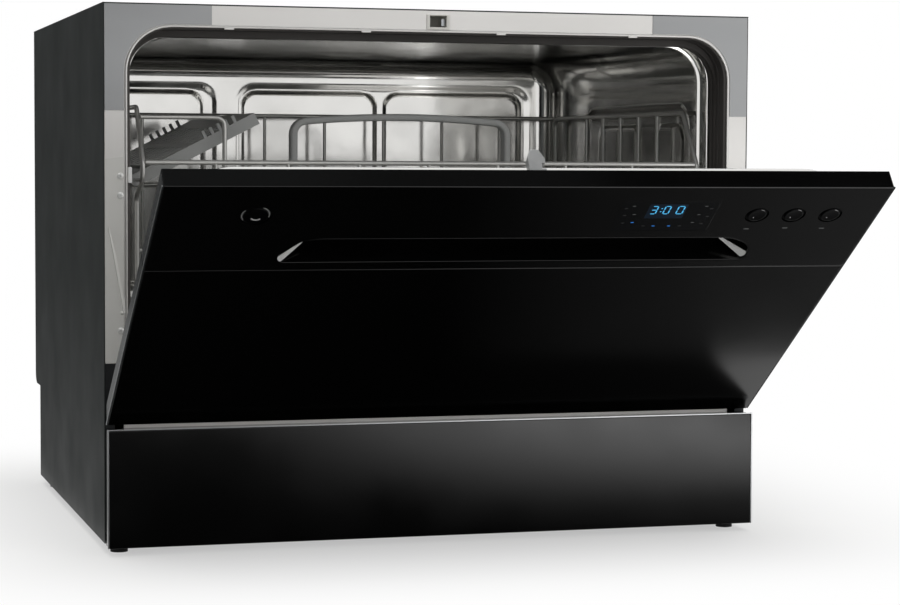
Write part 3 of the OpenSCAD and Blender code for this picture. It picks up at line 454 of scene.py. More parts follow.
finishes = {
    # Satin powder coat on steel: an even charcoal with a fine orange peel
    "casing_paint": newFinish("powderCoatCharcoal", 0.5, 0, 0.3, (1.3, 0.05), (60, 0.44, 0.54),
                              (220, "#2b2f2e", "#313534")),
    # Zinc-coated sheet: cool grey with patches of spangle
    "galvanised": newFinish("zincCoatedSheet", 0.42, 1, rough=(9, 0.34, 0.52),
                            tint=(11, "#8f9394", "#a9adae")),
    # Satin stainless strip of the frame: light, with faint lines along the rolling direction
    "frame_steel": newFinish("satinStainlessStrip", 0.42, 0.85, 0.5, (0.9, 0.02), (30, 0.38, 0.47),
                             (90, "#dbd9d6", "#e4e2df"), (0.05, 1, 1)),
    # The corner plates are the same strip, left duller
    "corner_steel": newFinish("dullStainlessPlate", 0.4, 0.9, 0.5, (0.9, 0.02), (30, 0.36, 0.45),
                              (80, "#9b9c9d", "#a8a9aa"), (0.05, 1, 1)),
    # Bright annealed stainless: near mirror with the slow waves of a deep-drawn sheet
    "tub_steel": newFinish("brightDrawnStainless", 0.12, 1, 0.5, (60, 0.35), (40, 0.09, 0.17),
                           (150, "#dddcd9", "#e6e5e2")),
    # Moulded EPDM: dark, soft, faintly dusty
    "seal_rubber": newFinish("mouldedEpdm", 0.6, 0, 0.35, (0.8, 0.04), tint=(25, "#403d3b", "#4b4846")),
    # Gloss black enamel on the plinth, control panel and pocket
    "gloss_black": newFinish("glossBlackEnamel", 0.16, 0, 0.5, (1.6, 0.006), (70, 0.14, 0.19),
                             (200, "#050505", "#070707")),
    # The same enamel on the door
    "door_gloss": newFinish("glossBlackDoorEnamel", 0.17, 0, 0.5, (1.6, 0.006), (70, 0.15, 0.2),
                            (200, "#040404", "#060606")),
    # Satin anodised aluminium edge, drawn lengthways
    "trim_aluminium": newFinish("anodisedAluminiumEdge", 0.28, 1, 0.5, (0.5, 0.01), None,
                                (20, "#b9babb", "#c9cacb"), (0.1, 1, 0.1)),
    # Soft black rubber feet
    "foot_rubber": newFinish("footRubber", 0.75, 0, 0.3, (0.7, 0.05), tint=(8, "#161616", "#202020")),
    # Dark moulded polypropylene with a fine spark texture
    "dark_plastic": newFinish("darkPolypropylene", 0.5, 0, 0.4, (0.6, 0.04), tint=(30, "#26282a", "#2f3234")),
    # Phosphated steel of the hinge gear
    "bracket_steel": newFinish("phosphatedSteel", 0.5, 0.6, 0.5, (0.7, 0.03),
                               tint=(14, "#2a2b2c", "#36383a")),
    # Drawn spring wire, bright zinc plate
    "spring_steel": newFinish("zincPlatedSteel", 0.3, 1, 0.5, (0.5, 0.015), tint=(10, "#a3a6a8", "#bcbfc1")),
    # Mid grey moulded polypropylene of the basket, shelf and lid
    "grey_plastic": newFinish("greyPolypropylene", 0.42, 0, 0.45, (0.7, 0.03),
                              tint=(35, "#a3a4a3", "#b0b1af")),
    # Pale moulded plastic of the salt tank and valves
    "light_plastic": newFinish("paleAcetal", 0.45, 0, 0.45, (0.7, 0.03), tint=(40, "#d6d5cf", "#e2e1db")),
    # Glass-filled nylon of the pumps
    "pump_housing": newFinish("glassFilledNylon", 0.6, 0, 0.35, (0.9, 0.05), tint=(18, "#3a3e43", "#474c52")),
    # Dull moulded plastic inside
    "inner_plastic": newFinish("innerPolypropylene", 0.5, 0, 0.4, (0.8, 0.03),
                               tint=(40, "#4b5054", "#575c60")),
    # Rack wire, drawn and polished: neutral grey with a line of light along each bar
    "rack_wire": newFinish("polishedRackWire", 0.3, 0.7, 0.5, (1.2, 0.02), tint=(40, "#c9c8c5", "#d6d5d1")),
    # Smoked acrylic display window, clear and hard
    "display_glass": newFinish("smokedAcrylic", 0.12, 0, 0.4, None, (30, 0.1, 0.16),
                               (50, "#070809", "#090a0c")),
    # Green glass-epoxy board with its lacquer
    "circuit_board": newFinish("lacqueredGlassEpoxy", 0.35, 0, 0.5, (0.4, 0.02),
                               tint=(6, "#1f4a2b", "#2b5c38")),
    # Polished black ABS of the buttons
    "button_gloss": newFinish("polishedBlackAbs", 0.3, 0, 0.12, (2.0, 0.01), tint=(20, "#030304", "#060607")),
}
# Zinc-plated screws and lugs, the brightest spots on the frame; the cast hook; the legs' overlay, darker and
# less metallic as painted shade
screwSteel = newFinish("brightScrewSteel", 0.45, 0.6, 0.5, (0.5, 0.01), tint=(4, "#ebebe9", "#f6f6f4"))
hookZinc = newFinish("castZincHook", 0.38, 0.5, 0.5, (0.8, 0.03), tint=(6, "#a9aaaa", "#b8b9b9"))
legShadeSteel = newFinish("legStripPaintedShade", 0.45, 0.4, 0.5, (0.9, 0.02), (30, 0.4, 0.5),
                     (60, "#cfceca", "#d8d7d3"))
# Light from behind the window: cyan digits, blue pilot marks and the faint field round the digits
litDigits = litFinish("litCyanSegments", 0.4, "#0a2b3c", "#52b9ee", 1.0)
litBlue = litFinish("litBlueMarks", 0.4, "#0a1c3c", "#2f7fd6", 0.8)
digitField = litFinish("litDisplayField", 0.3, "#04101c", "#04101c", 0.6)
# Silver strips as painted highlight at the pocket's ends, pale arcs as painted highlight on the button rims
# beside a pale glyph and dots, and grey screen print, which stand out softly from the black
pocketHighlightSatin = newFinish("paintedPocketHighlight", 0.5, 0.2, 0.5, (0.6, 0.01), tint=(8, "#c4c4c3", "#d0d0cf"))
sheenArcAndPrintGrey = newFinish("paintedRimSheenAndPrint", 0.4, tint=(3, "#8a8a8a", "#989898"))
printGrey = newFinish("screenPrintGrey", 0.5, tint=(5, "#4c4e4e", "#5a5c5c"))
printFaint = newFinish("screenPrintFaint", 0.5, tint=(5, "#232424", "#2b2c2c"))

for name, node in frame["nodes"].items():  # every node of the frame starts with its slot's finish
    node.data.materials.clear()
    node.data.materials.append(finishes[slotOf[name]])
print("finishes:", len(finishes))

# ---- Geometry Nodes trees ----


def newTree(name, sockets):
    tree = bpy.data.node_groups.new(name, "GeometryNodeTree")
    tree.interface.new_socket("Geometry", in_out="INPUT", socket_type="NodeSocketGeometry")
    for label, kind, value in sockets:
        socket = tree.interface.new_socket(label, in_out="INPUT", socket_type="NodeSocket" + kind)
        if value is not None:
            socket.default_value = value
    tree.interface.new_socket("Geometry", in_out="OUTPUT", socket_type="NodeSocketGeometry")
    return tree, addNode(tree, "NodeGroupInput")


def endTree(tree, geometry, finish):  # real geometry with its material, because the export drops instances
    real = addNode(tree, "GeometryNodeRealizeInstances", None, {"Geometry": geometry})
    painted = addNode(tree, "GeometryNodeSetMaterial", None, {"Geometry": real.outputs[0],
                                                              "Material": finish})
    addNode(tree, "NodeGroupOutput", None, {0: painted.outputs[0]})
    return tree


# Bent wire along each line of the mesh, repeated in a row
tree, given = newTree("wireRow", [("Wire radius", "Float", 2.0), ("Bend radius", "Float", 6.0),
                                  ("Sides", "Int", 12), ("Count", "Int", 1), ("Step", "Vector", None),
                                  ("Finish", "Material", None)])
line = addNode(tree, "GeometryNodeMeshToCurve", None, {"Mesh": given.outputs["Geometry"]})
bent = addNode(tree, "GeometryNodeFilletCurve", {"mode": "POLY", "Count": 6, "Limit Radius": True},
               {"Curve": line.outputs[0], "Radius": given.outputs["Bend radius"]})
ring = addNode(tree, "GeometryNodeCurvePrimitiveCircle", None,
               {"Resolution": given.outputs["Sides"], "Radius": given.outputs["Wire radius"]})
wire = addNode(tree, "GeometryNodeCurveToMesh", {"Fill Caps": True},
               {"Curve": bent.outputs[0], "Profile Curve": ring.outputs[0]})
spots = addNode(tree, "GeometryNodeMeshLine", {"mode": "OFFSET"},
                {"Count": given.outputs["Count"], "Offset": given.outputs["Step"]})
row = addNode(tree, "GeometryNodeInstanceOnPoints", None, {"Points": spots.outputs[0],
                                                           "Instance": wire.outputs[0]})
wireRow = endTree(tree, row.outputs[0], given.outputs["Finish"])

# A domed screw head with a cross recess on each point of the mesh
tree, given = newTree("screwHeads", [("Head radius", "Float", 3.0), ("Dome height", "Float", 1.4),
                                     ("Recess width", "Float", 0.9), ("Turn", "Vector", None),
                                     ("Finish", "Material", None)])
radius, height, recess = (given.outputs[key] for key in ("Head radius", "Dome height", "Recess width"))
size, long, wide, lift = (addNode(tree, "ShaderNodeCombineXYZ", None, sides) for sides in (
    {0: radius, 1: radius, 2: height}, {0: radius, 1: recess, 2: height}, {0: recess, 1: radius, 2: height},
    {2: height}))
ball = addNode(tree, "GeometryNodeMeshUVSphere", {"Segments": 28, "Rings": 16, "Radius": 1.0})
cut = addNode(tree, "GeometryNodeTransform", None, {"Geometry": ball.outputs[0], "Scale": size.outputs[0]})
for shape in (long, wide):
    bar = addNode(tree, "GeometryNodeMeshCube", None, {"Size": shape.outputs[0]})
    raised = addNode(tree, "GeometryNodeTransform", None,
                     {"Geometry": bar.outputs[0], "Translation": lift.outputs[0]})
    cut = addNode(tree, "GeometryNodeMeshBoolean", {"operation": "DIFFERENCE"},
                  {"Mesh 1": cut.outputs[0], "Mesh 2": raised.outputs[0]})
heads = addNode(tree, "GeometryNodeInstanceOnPoints", None,
                {"Points": given.outputs["Geometry"], "Instance": cut.outputs[0],
                 "Rotation": given.outputs["Turn"]})
screwHeads = endTree(tree, heads.outputs[0], given.outputs["Finish"])


def wires(lines, radius, bend, material, count=1, step=(0, 0, 0), sides=12):
    points, edges = [], []
    for run in lines:
        edges += [(len(points) + i, len(points) + i + 1) for i in range(len(run) - 1)]
        points += run
    mesh = bpy.data.meshes.new("lines")
    mesh.from_pydata(points, edges, [])
    return grown(mesh, wireRow, {"Wire radius": radius, "Bend radius": bend, "Sides": sides, "Count": count,
                                 "Step": step, "Finish": material})


def screws(points, radius, height, lean, material):  # heads that stand on a face, leaning by an angle about X
    return grown(meshOf(points, []), screwHeads, {
        "Head radius": radius, "Dome height": height, "Recess width": radius * 0.3,
        "Turn": (math.radians(lean), 0, 0), "Finish": material})


print("trees: wire rows and screw heads")

# ---- casing ----

casing = {"halfWidth": 275, "sheet": 1.0, "top": 438, "depth": 470, "footHeight": 8, "notchHeight": 95,
          "notchDepth": 37, "notchRadius": 12}


def sidePanel(side):
    back = casing["depth"] - casing["notchDepth"]
    outline = roundLoop([(0, casing["footHeight"], 0.5), (back, casing["footHeight"], 1),
                         (back, casing["notchHeight"], 2),
                         (casing["depth"], casing["notchHeight"], casing["notchRadius"]),
                         (casing["depth"], casing["top"] - 1, 0.5), (0, casing["top"] - 1, 0.5)], 10)
    low, high = sorted((side * (casing["halfWidth"] - casing["sheet"]), side * casing["halfWidth"]))
    sheet = plate([outline], low, high, 0.3, "X")
    low, high = sorted((side * (casing["halfWidth"] - 9), side * (casing["halfWidth"] - 1)))
    fold = plate([box2d(low, high, 12, back - 12, 2)], casing["footHeight"], casing["footHeight"] + 1, 0.3,
                 "Z")
    return joined(sheet, fold)


addPiece("leftSidePanel", sidePanel(-1), inCabinet, "left_side_panel")
addPiece("rightSidePanel", sidePanel(1), inCabinet, "right_side_panel")

# ---- front frame, its corner plates and screws ----

frontFrame = {"opening": (256, 419.3, 36), "sill": 121, "ledgeWidth": 232, "ledge": 144,
              "corners": (4, 3, 0.5),
              "catch": (-8.4, 8.4, 422.5, 433), "screwX": 261.5, "screwZ": (178, 285.6, 301),
              "tabsX": (-174, -61, 54, 170), "footX": 259.5, "footZ": (62, 152), "top": 437}


def steppedArch(w, top, r, floorZ, ledgeZ, ledgeW, corners, steps=12, shares=None):
    # The tub's outline, its middle carried down between the wheel ledges
    low, inner, outer = corners
    return roundLoop([(-ledgeW, floorZ, low), (ledgeW, floorZ, low), (ledgeW, ledgeZ, inner),
                      (w, ledgeZ, outer),
                      (w, top, r), (-w, top, r), (-w, ledgeZ, outer), (-ledgeW, ledgeZ, inner)], steps,
                     shares)


def archPath(w, top, r, low, steps=16):  # up the left side, over and down the right, with the way out
    path = [(-w, low, -1, 0)]
    for side, start in ((-1, 180), (1, 90)):
        for k in range(steps + 1):
            a = math.radians(start - 90 * k / steps)
            out, rise = math.cos(a), math.sin(a)
            path.append((side * (w - r) + r * out, top - r + r * rise, out, rise))
    return path + [(w, low, 1, 0)]


edge, frameTop = casing["halfWidth"] - 1, frontFrame["top"]
foot, (footLow, footHigh) = frontFrame["footX"], frontFrame["footZ"]
outline = [(-foot, footLow), (foot, footLow), (foot, footHigh), (edge, footHigh), (edge, frameTop),
           (-edge, frameTop), (-edge, footHigh), (-foot, footHigh)]
holes = [steppedArch(*frontFrame["opening"], frontFrame["sill"], frontFrame["ledge"],
                     frontFrame["ledgeWidth"], frontFrame["corners"]), box2d(*frontFrame["catch"], 1)]
screwSpots = [(s * frontFrame["screwX"], z) for s in (-1, 1) for z in frontFrame["screwZ"]]
holes += [circle(x, z, 1.6, 16) for x, z in screwSpots]
beadProfile = [(0, 0.3), (0, -0.5), (0.3, -0.74), (0.9, -0.8), (1.5, -0.7), (1.9, -0.4), (2.1, 0.1)]
bead = sweep(beadProfile, archPath(*frontFrame["opening"], frontFrame["ledge"]))
tabs = [plate([box2d(x - 4, x + 4, 418.1, 419.8, 0.5)], -0.9, 0.9, 0.25) for x in frontFrame["tabsX"]]
addPiece("frontFrame", joined(plate([outline] + holes, 0, 1, 0.2), bead, *tabs), inCabinet, "front_frame")

# The lower legs get a thin overlay of the strip, darker and less metallic as painted shade, each with a
# pressed crease and a lug beside the lever
leg = {"inner": 259, "low": 152.5, "highs": {-1: 315.5, 1: 297}, "creaseTop": (271.4, 260.7),
       "creaseFoot": (259.7, 192.3), "domeX": 260.4, "lug": (252.2, 255.4, 295.5, 308.2)}
creaseProfile = [(0, 0), (0.2, -0.7), (0.6, -0.95), (2.2, -0.35), (3.4, 0)]
domeProfile = [(0.01, 1.1), (0.7, 0.95), (1.2, 0.5), (1.4, 0), (0.01, 0)]
legs, lugs = [], []
for s, high in leg["highs"].items():  # the left overlay of painted shade reaches higher
    loop = [(s * leg["inner"], leg["low"]), (s * edge, leg["low"]), (s * edge, high - 1),
            (s * leg["inner"], high + 1)]
    crease = []
    for t in (0, 0.15, 0.35, 0.6, 0.8, 1):
        x, z = Vector(leg["creaseTop"]).lerp(Vector(leg["creaseFoot"]), t)
        crease.append((s * x, z, -s * (0.35 + 0.65 * min(1, 3 * t)), -0.17))
    dome = lathe(domeProfile, (s * leg["domeX"], -0.2, leg["creaseFoot"][1]), "Y", 20)
    legs += [plate([loop], -0.25, 0.05, 0.08), sweep(creaseProfile, crease), dome]
    x0, x1, z0, z1 = leg["lug"]
    lugs.append(plate([box2d(*sorted((s * x0, s * x1)), z0, z1, 0.8)], 0.2, 1.2, 0.3))
addPiece("frameLegs", joined(*legs), inCabinet, "front_frame", legShadeSteel, False)
addPiece("frameLugs", joined(*lugs), inCabinet, "front_frame", screwSteel, False)

cornerPlate = {"inner": 188, "low": 421.7, "arc": (220, 383.3, 38.4), "foot": 353}
plates = []
for s in (-1, 1):
    x, z, r = cornerPlate["arc"]
    loop = [(s * cornerPlate["inner"], frameTop), (s * cornerPlate["inner"], cornerPlate["low"])]
    turns = [math.radians(a) for a in range(0, 91, 6)]
    loop += [(s * (x + r * math.sin(a)), z + r * math.cos(a)) for a in turns]
    loop += [(s * (x + r), cornerPlate["foot"]), (s * edge, cornerPlate["foot"]), (s * edge, frameTop)]
    plates.append(plate([loop], -0.6, 0, 0.15))
addPiece("cornerPlates", joined(*plates), inCabinet, "corner_plates")

frontScrews = screws([(x, 0, z) for x, z in screwSpots], 2.8, 1.4, 90, screwSteel)
points = [(s * 266, casing["depth"], z) for s in (-1, 1) for z in (130, 280, 420)]
rearScrews = screws(points, 3.5, 1.2, -90, screwSteel)
addPiece("casingScrews", joined(frontScrews, rearScrews), inCabinet, "casing_screws", screwSteel, smooth=30)
print("casing, frame and screws are made")

# ---- tub: wrap, floor pan and seal ----

tub = {"width": 247, "floor": 122, "roof": 413, "rear": 440, "radius": 30, "rearRadius": 18, "ledge": 144,
       "ledgeWidth": 232, "rise": 8, "sheet": 1.0,
       "floorHoles": ((0, 240, 77), (-165, 125, 26)),  # x, y, radius
       "wallPanels": [  # y0, y1, z0, z1, corner radius, depth outwards, width of the slope
           (62, 332, 172, 366, 24, 2.2, 5.0), (78, 146, 186, 348, 16, -2.0, 3.2),
           (184, 300, 186, 348, 16, -2.0, 3.2)],
       "rearPanels": [  # x0, x1, z0, z1, corner radius, depth outwards, width of the slope
           (-226, -98, 178, 391, 20, 1.5, 8.5), (-82, 226, 178, 391, 20, 1.5, 8.5),
           (-214, -114, 192, 382.5, 16, -1.6, 2.4), (-75.5, 62, 192, 382.5, 16, -1.6, 2.4),
           (69.5, 214, 192, 382.5, 16, -1.6, 2.4)]}


def spaced(low, high, zones, fine=2.0, coarse=10.0):  # shares of a length, close together in the zones
    at, shares = low, []
    while True:
        ahead = [start for start, end in zones if start > at + 0.01] + [high]
        at += fine if any(start - 0.01 <= at < end for start, end in zones) else min(coarse, min(ahead) - at)
        if at > high - fine * 0.6:
            return shares
        shares.append((at - low) / (high - low))


yShares = spaced(48, 422, [(60, 96), (128, 148), (182, 202), (284, 334)])
zShares = spaced(148, 383, [(170, 207), (330, 381)])
xShares = spaced(-229, 229, [(-228, -194), (-132, -96), (-84, -48), (42, 98), (194, 228)])
along = {0: [0.2, 0.4, 0.6, 0.8], 3: zShares, 4: [1 - share for share in reversed(xShares)],
         5: [1 - share for share in reversed(zShares)]}


def pressedDepth(u, v, panels):
    total = 0.0
    for u0, u1, v0, v1, r, depth, ramp in panels:
        du = abs(u - (u0 + u1) / 2) - (u1 - u0) / 2 + r
        dv = abs(v - (v0 + v1) / 2) - (v1 - v0) / 2 + r
        inside = r - math.hypot(max(du, 0), max(dv, 0)) - min(max(du, dv), 0)
        t = min(max(inside / ramp, 0), 1)
        total += depth * t * t * (3 - 2 * t)
    return total


rearStart, mouthEnd = tub["rear"] - tub["rearRadius"], 48


def tubRing(y, w, top, r, floorZ, up=0.0, corner=5.0):  # a ring of the tub, pressed outwards at the sides
    ring = []
    for x, z in steppedArch(w, top, r, floorZ, tub["ledge"] + up, tub["ledgeWidth"] - up,
                            (corner, corner * 0.7, corner * 0.8), 8, along):
        if abs(x) > tub["width"] - 0.5 and mouthEnd <= y <= rearStart:
            x += math.copysign(pressedDepth(y, z, tub["wallPanels"]), x)
        ring.append((x, y, z))
    return ring


rings = [tubRing(*sizes) for sizes in (
    (1, 256, 419.3, 36, 121), (31, 256, 419.3, 36, 121), (32.4, 255.6, 419, 35.6, 121.2),
    (33, 254.6, 418.4, 35, 121.6), (33, 252, 417, 33.6, 121.9), (33.6, 250.9, 416.3, 33.2, 122),
    (35, 250.5, 416, 33, 122), (44.5, 250.5, 416, 33, 122), (45.7, 250, 415.7, 32.6, 122),
    (46, 249.2, 414.9, 31.8, 122), (46, 248, 414, 31, 122), (46.4, 247.3, 413.3, 30.3, 122))]
for share in [0] + yShares + [1]:
    rings.append(tubRing(mouthEnd + (rearStart - mouthEnd) * share, tub["width"], tub["roof"], tub["radius"],
                         tub["floor"]))
for k in range(1, 10):
    a = math.radians(10 * k)
    share = 1 - math.cos(a)
    inset = tub["rearRadius"] * share
    rings.append(tubRing(rearStart + tub["rearRadius"] * math.sin(a), tub["width"] - inset,
                         tub["roof"] - inset,
                         max(tub["radius"] * (1 - share), 0.05), tub["floor"] + tub["rise"] * share,
                         tub["rise"] * share, max(5 * (1 - share), 0.05)))

# The rear wall is a grid on the last ring's own lines, so that its pressed panels meet the walls
lastRing = rings[-1]
right, top = max(x for x, y, z in lastRing), max(z for x, y, z in lastRing)
heights = sorted(set(round(z, 4) for x, y, z in lastRing if abs(x - right) < 0.02))
across = sorted(set(round(x, 4) for x, y, z in lastRing if abs(z - top) < 0.02))
n = len(across)
points = [(x, tub["rear"] + pressedDepth(x, z, tub["rearPanels"]), z) for z in heights for x in across]
rearWall = meshOf(points,
                  [(j * n + i, j * n + i + 1, (j + 1) * n + i + 1, (j + 1) * n + i)
                   for j in range(len(heights) - 1) for i in range(n - 1)])
work = editable(skinned(rings), rearWall)
bmesh.ops.remove_doubles(work, verts=work.verts, dist=0.12)
fillIn(work, [e for e in work.edges if e.is_boundary and all(v.co.y > tub["rear"] - 0.01 for v in e.verts)],
       (0, -1, 0))
flat = []
for face in work.faces:
    x, y, z = face.calc_center_median()
    if z < tub["floor"] + 0.01 and abs(x) < 226 and 60 < y < 410 and face.normal.z > 0.99:
        flat.append(face)
bmesh.ops.delete(work, geom=flat, context="FACES")
border = [e for e in work.edges if e.is_boundary
          and all(abs(v.co.z - tub["floor"]) < 0.01 and 55 < v.co.y < 415 for v in e.verts)]
for x, y, radius in tub["floorHoles"]:
    border += edgeLoop(work, [(px, py, tub["floor"]) for px, py in circle(x, y, radius, 48)])
fillIn(work, border, (0, 0, 1))
whole = finished(work)


def tubPart(lower):  # the floor pan lies under the wheel ledges, the wrap above
    work = editable(whole)
    other = []
    for face in work.faces:
        c = face.calc_center_median()
        below = c.z < tub["ledge"] + (tub["rise"] + 0.1 if c.y > rearStart + 9 else 0.6)
        if below != lower:
            other.append(face)
    bmesh.ops.delete(work, geom=other, context="FACES")
    return worked(finished(work), [("SOLIDIFY", {"thickness": tub["sheet"], "offset": -1.0})])


addPiece("tubWrap", tubPart(False), inCabinet, "tub", smooth=40)
addPiece("tubFloorPan", tubPart(True), inCabinet, "tub_floor", smooth=40)

seal = {"outer": (255.9, 419.2, 35.9), "cover": (253.6, 417.6, 33.6), "lip": (252.6, 412.6, 32.6),
        "low": 144.6, "coverY": (1.2, 19), "grooveY": 12.5, "lipY": 31}


def archBand(inner, steps=20):  # along the inner arch; one unit out reaches the seal's outer arch
    pairs = zip(archPath(*seal[inner], seal["low"], steps), archPath(*seal["outer"], seal["low"], steps))
    return [(a[0], a[1], b[0] - a[0], b[1] - a[1]) for a, b in pairs]


(y0, y1), middle = seal["coverY"], seal["grooveY"]
coverProfile = [(0.97, y0), (0.3, y0), (0.0, y0 + 0.5), (0.0, middle - 1.1), (0.35, middle - 0.7),
                (0.4, middle), (0.35, middle + 0.7), (0.0, middle + 1.1), (0.0, y1), (0.97, y1)]
y2 = seal["lipY"]
lipProfile = [(0.97, y1), (0.12, y1), (0.0, y1 + 0.5), (0.0, y1 + 2.4), (0.12, y1 + 3), (0.42, y1 + 3.4),
              (0.5, y1 + 5), (0.5, y1 + 7), (0.42, y1 + 8.6), (0.12, y1 + 9), (0.0, y1 + 9.6),
              (0.0, y2 - 0.5), (0.12, y2), (0.97, y2)]
addPiece("tubSeal", joined(sweep(coverProfile, archBand("cover")), sweep(lipProfile, archBand("lip"))),
         inCabinet, "tub_seal", smooth=40)
print("tub and seal are made")

# ---- plinth ----

plinth = {"box": (-274, 274, 6.5, 100.4), "front": -19, "back": -0.2, "round": 0.8, "sheet": 1.5,
          "leverRoom": (260.5, 267, 95, 102)}


def tray(box, front, back, radius, sheet, holes=(), lowBack=None):
    # A shallow sheet tray open at the back, with a rolled front edge and holes in its face
    x0, x1, z0, z1 = box
    rings, side = [], 0.8
    turns = [math.radians(a) for a in range(0, 91, 18)]
    for inset, y in ([(0, back), (0, front + radius + 1)]
                     + [(radius * (1 - math.cos(a)), front + radius * (1 - math.sin(a))) for a in turns]):
        loop = roundLoop([(x0 + inset, z0 + inset, side), (x1 - inset, z0 + inset, side),
                          (x1 - inset, z0 + 6, 0),
                          (x1 - inset, z1 - inset, side), (x0 + inset, z1 - inset, side),
                          (x0 + inset, z0 + 6, 0)], 4)
        lowest = lowBack if lowBack is not None and y == back else y
        rings.append([(x, lowest if z < z0 + 5 else y, z) for x, z in loop])
    work = editable(skinned(rings))
    rim = lastRim(work, len(rings[0]))
    for loop in holes:
        rim += edgeLoop(work, [(x, front, z) for x, z in loop])
    fillIn(work, rim, (0, -1, 0))
    middle = Vector(((x0 + x1) / 2, 0, (z0 + z1) / 2))
    for face in work.faces:  # the walls face away from the tray's middle
        out, normal = face.calc_center_median() - middle, face.normal
        away = out.x * normal.x if abs(normal.x) > abs(normal.z) else out.z * normal.z
        if abs(normal.y) < 0.9 and away < 0:
            face.normal_flip()
    return worked(finished(work), [("SOLIDIFY", {"thickness": sheet, "offset": -1.0,
                                                 "use_even_offset": True})])


x0, x1, z0, z1 = plinth["leverRoom"]
leverRoom = linked("leverRoom", joined(*[
    plate([box2d(*sorted((s * x0, s * x1)), z0, z1)], -13, 1, 0) for s in (-1, 1)]))
plinthSheet = tray(plinth["box"], plinth["front"], plinth["back"], plinth["round"], plinth["sheet"])
addPiece("plinthTray", worked(plinthSheet, [("BOOLEAN", {
    "object": leverRoom, "operation": "DIFFERENCE", "solver": "EXACT"})]), inCabinet, "plinth")
bpy.data.objects.remove(leverRoom)  # it only left room for the hinge levers
print("plinth is made")

# ---- door ----

door = {"front": -18, "back": -3, "bottom": 106, "seam": 331, "top": 437, "halfWidth": 274, "edgeRadius": 0.8,
        "powerX": -204, "powerRadius": 11, "controlsZ": 401, "buttonX": 176, "buttonPitch": 29.8,
        "buttonRadius": 9, "window": (65, 142, 381, 419)}
buttonsX = [door["buttonX"] + i * door["buttonPitch"] for i in range(3)]
half, face, powerX, controlsZ = door["halfWidth"], door["front"], door["powerX"], door["controlsZ"]
pocket = {"x": 3.7, "halfWidth": 184, "low": 339.4, "high": 372, "lowRadius": 7.5, "shoulder": (31, 23)}


def pocketLoop(grow, steps=12):  # small round corners below, long elliptic shoulders above
    x, w = pocket["x"], pocket["halfWidth"] + grow
    low, high, r = pocket["low"] - grow, pocket["high"] + grow, pocket["lowRadius"] + grow
    a, b = (size + grow for size in pocket["shoulder"])
    loop = []
    for cx, cz, rx, rz, start in ((x - w + r, low + r, r, r, 180), (x + w - r, low + r, r, r, 270),
                                  (x + w - a, high - b, a, b, 0), (x - w + a, high - b, a, b, 90)):
        for k in range(steps + 1):
            t = math.radians(start + 90 * k / steps)
            loop.append((cx + rx * math.cos(t), cz + rz * math.sin(t)))
    return loop


addPiece("doorPanel", tray((-half, half, door["bottom"], door["seam"] - 0.5), face, door["back"],
                           door["edgeRadius"], 1.5, lowBack=-7.2), onDoor, "door_panel")
holes = [pocketLoop(0), box2d(*door["window"], 0.6), circle(powerX, controlsZ, door["powerRadius"] + 0.3, 48)]
holes += [circle(x, controlsZ, door["buttonRadius"] + 0.3, 40) for x in buttonsX]
addPiece("controlPanel", tray((-half, half, door["seam"], door["top"]), face, door["back"],
                              door["edgeRadius"], 2.0, holes), onDoor, "control_panel")

# The finger pocket: a deep black well, its rim let into the panel
rings = [[(x, y, z) for x, z in pocketLoop(grow)] for grow, y in
         ((-0.1, 5.4), (-0.1, -17.7), (-0.3, -17.95), (-0.8, -18), (-1.3, -17.8), (-1.6, -17.2), (-1.6, 1.5),
          (-2.4, 3.3), (-4.2, 4))]
addPiece("fingerPocket", outward(skinned(rings, True)), onDoor, "handle_pocket")

# Edge strips of the door: the left one is bright aluminium and catches the light; the right one takes the
# black door enamel as painted shade
for name, s, finish in (("leftEdgeTrim", -1, None), ("rightEdgeTrim", 1, finishes["door_gloss"])):
    loop = box2d(*sorted((s * half, s * (half + 1))), -17.9, -16.6, 0.35)
    strip = plate([loop], door["bottom"] + 0.5, door["top"] - 0.3, 0.25, "Z")
    addPiece(name, strip, onDoor, "door_edge_trims", finish)

# Satin strips that lead into the pocket at its two ends, a painted highlight for the light on its slanted end
# walls: across, height and depth of each corner
highlightCorners = (((-180.5, 346.3, 0.5), (-176.4, 341.0, 0.5), (-158.2, 349.8, 13), (-160.0, 349.2, 13)),
              ((187.1, 340.3, 0.5), (188.1, 349.1, 0.5), (168.2, 352.1, 13), (164.7, 352.1, 13)))
highlightStrips = []
for corners in highlightCorners:
    sheet = meshOf([(x, face + depth, z) for x, z, depth in corners], [(3, 2, 1, 0)])
    highlightStrips.append(worked(sheet, [("SUBSURF", {"levels": 2, "render_levels": 2, "subdivision_type": "SIMPLE"}),
                               ("SOLIDIFY", {"thickness": 0.7, "offset": 0.0}),
                               ("BEVEL", {"width": 0.15, "segments": 2, "limit_method": "ANGLE"})]))
addPiece("pocketHighlightStrips", joined(*highlightStrips), onDoor, "handle_pocket", pocketHighlightSatin, False)

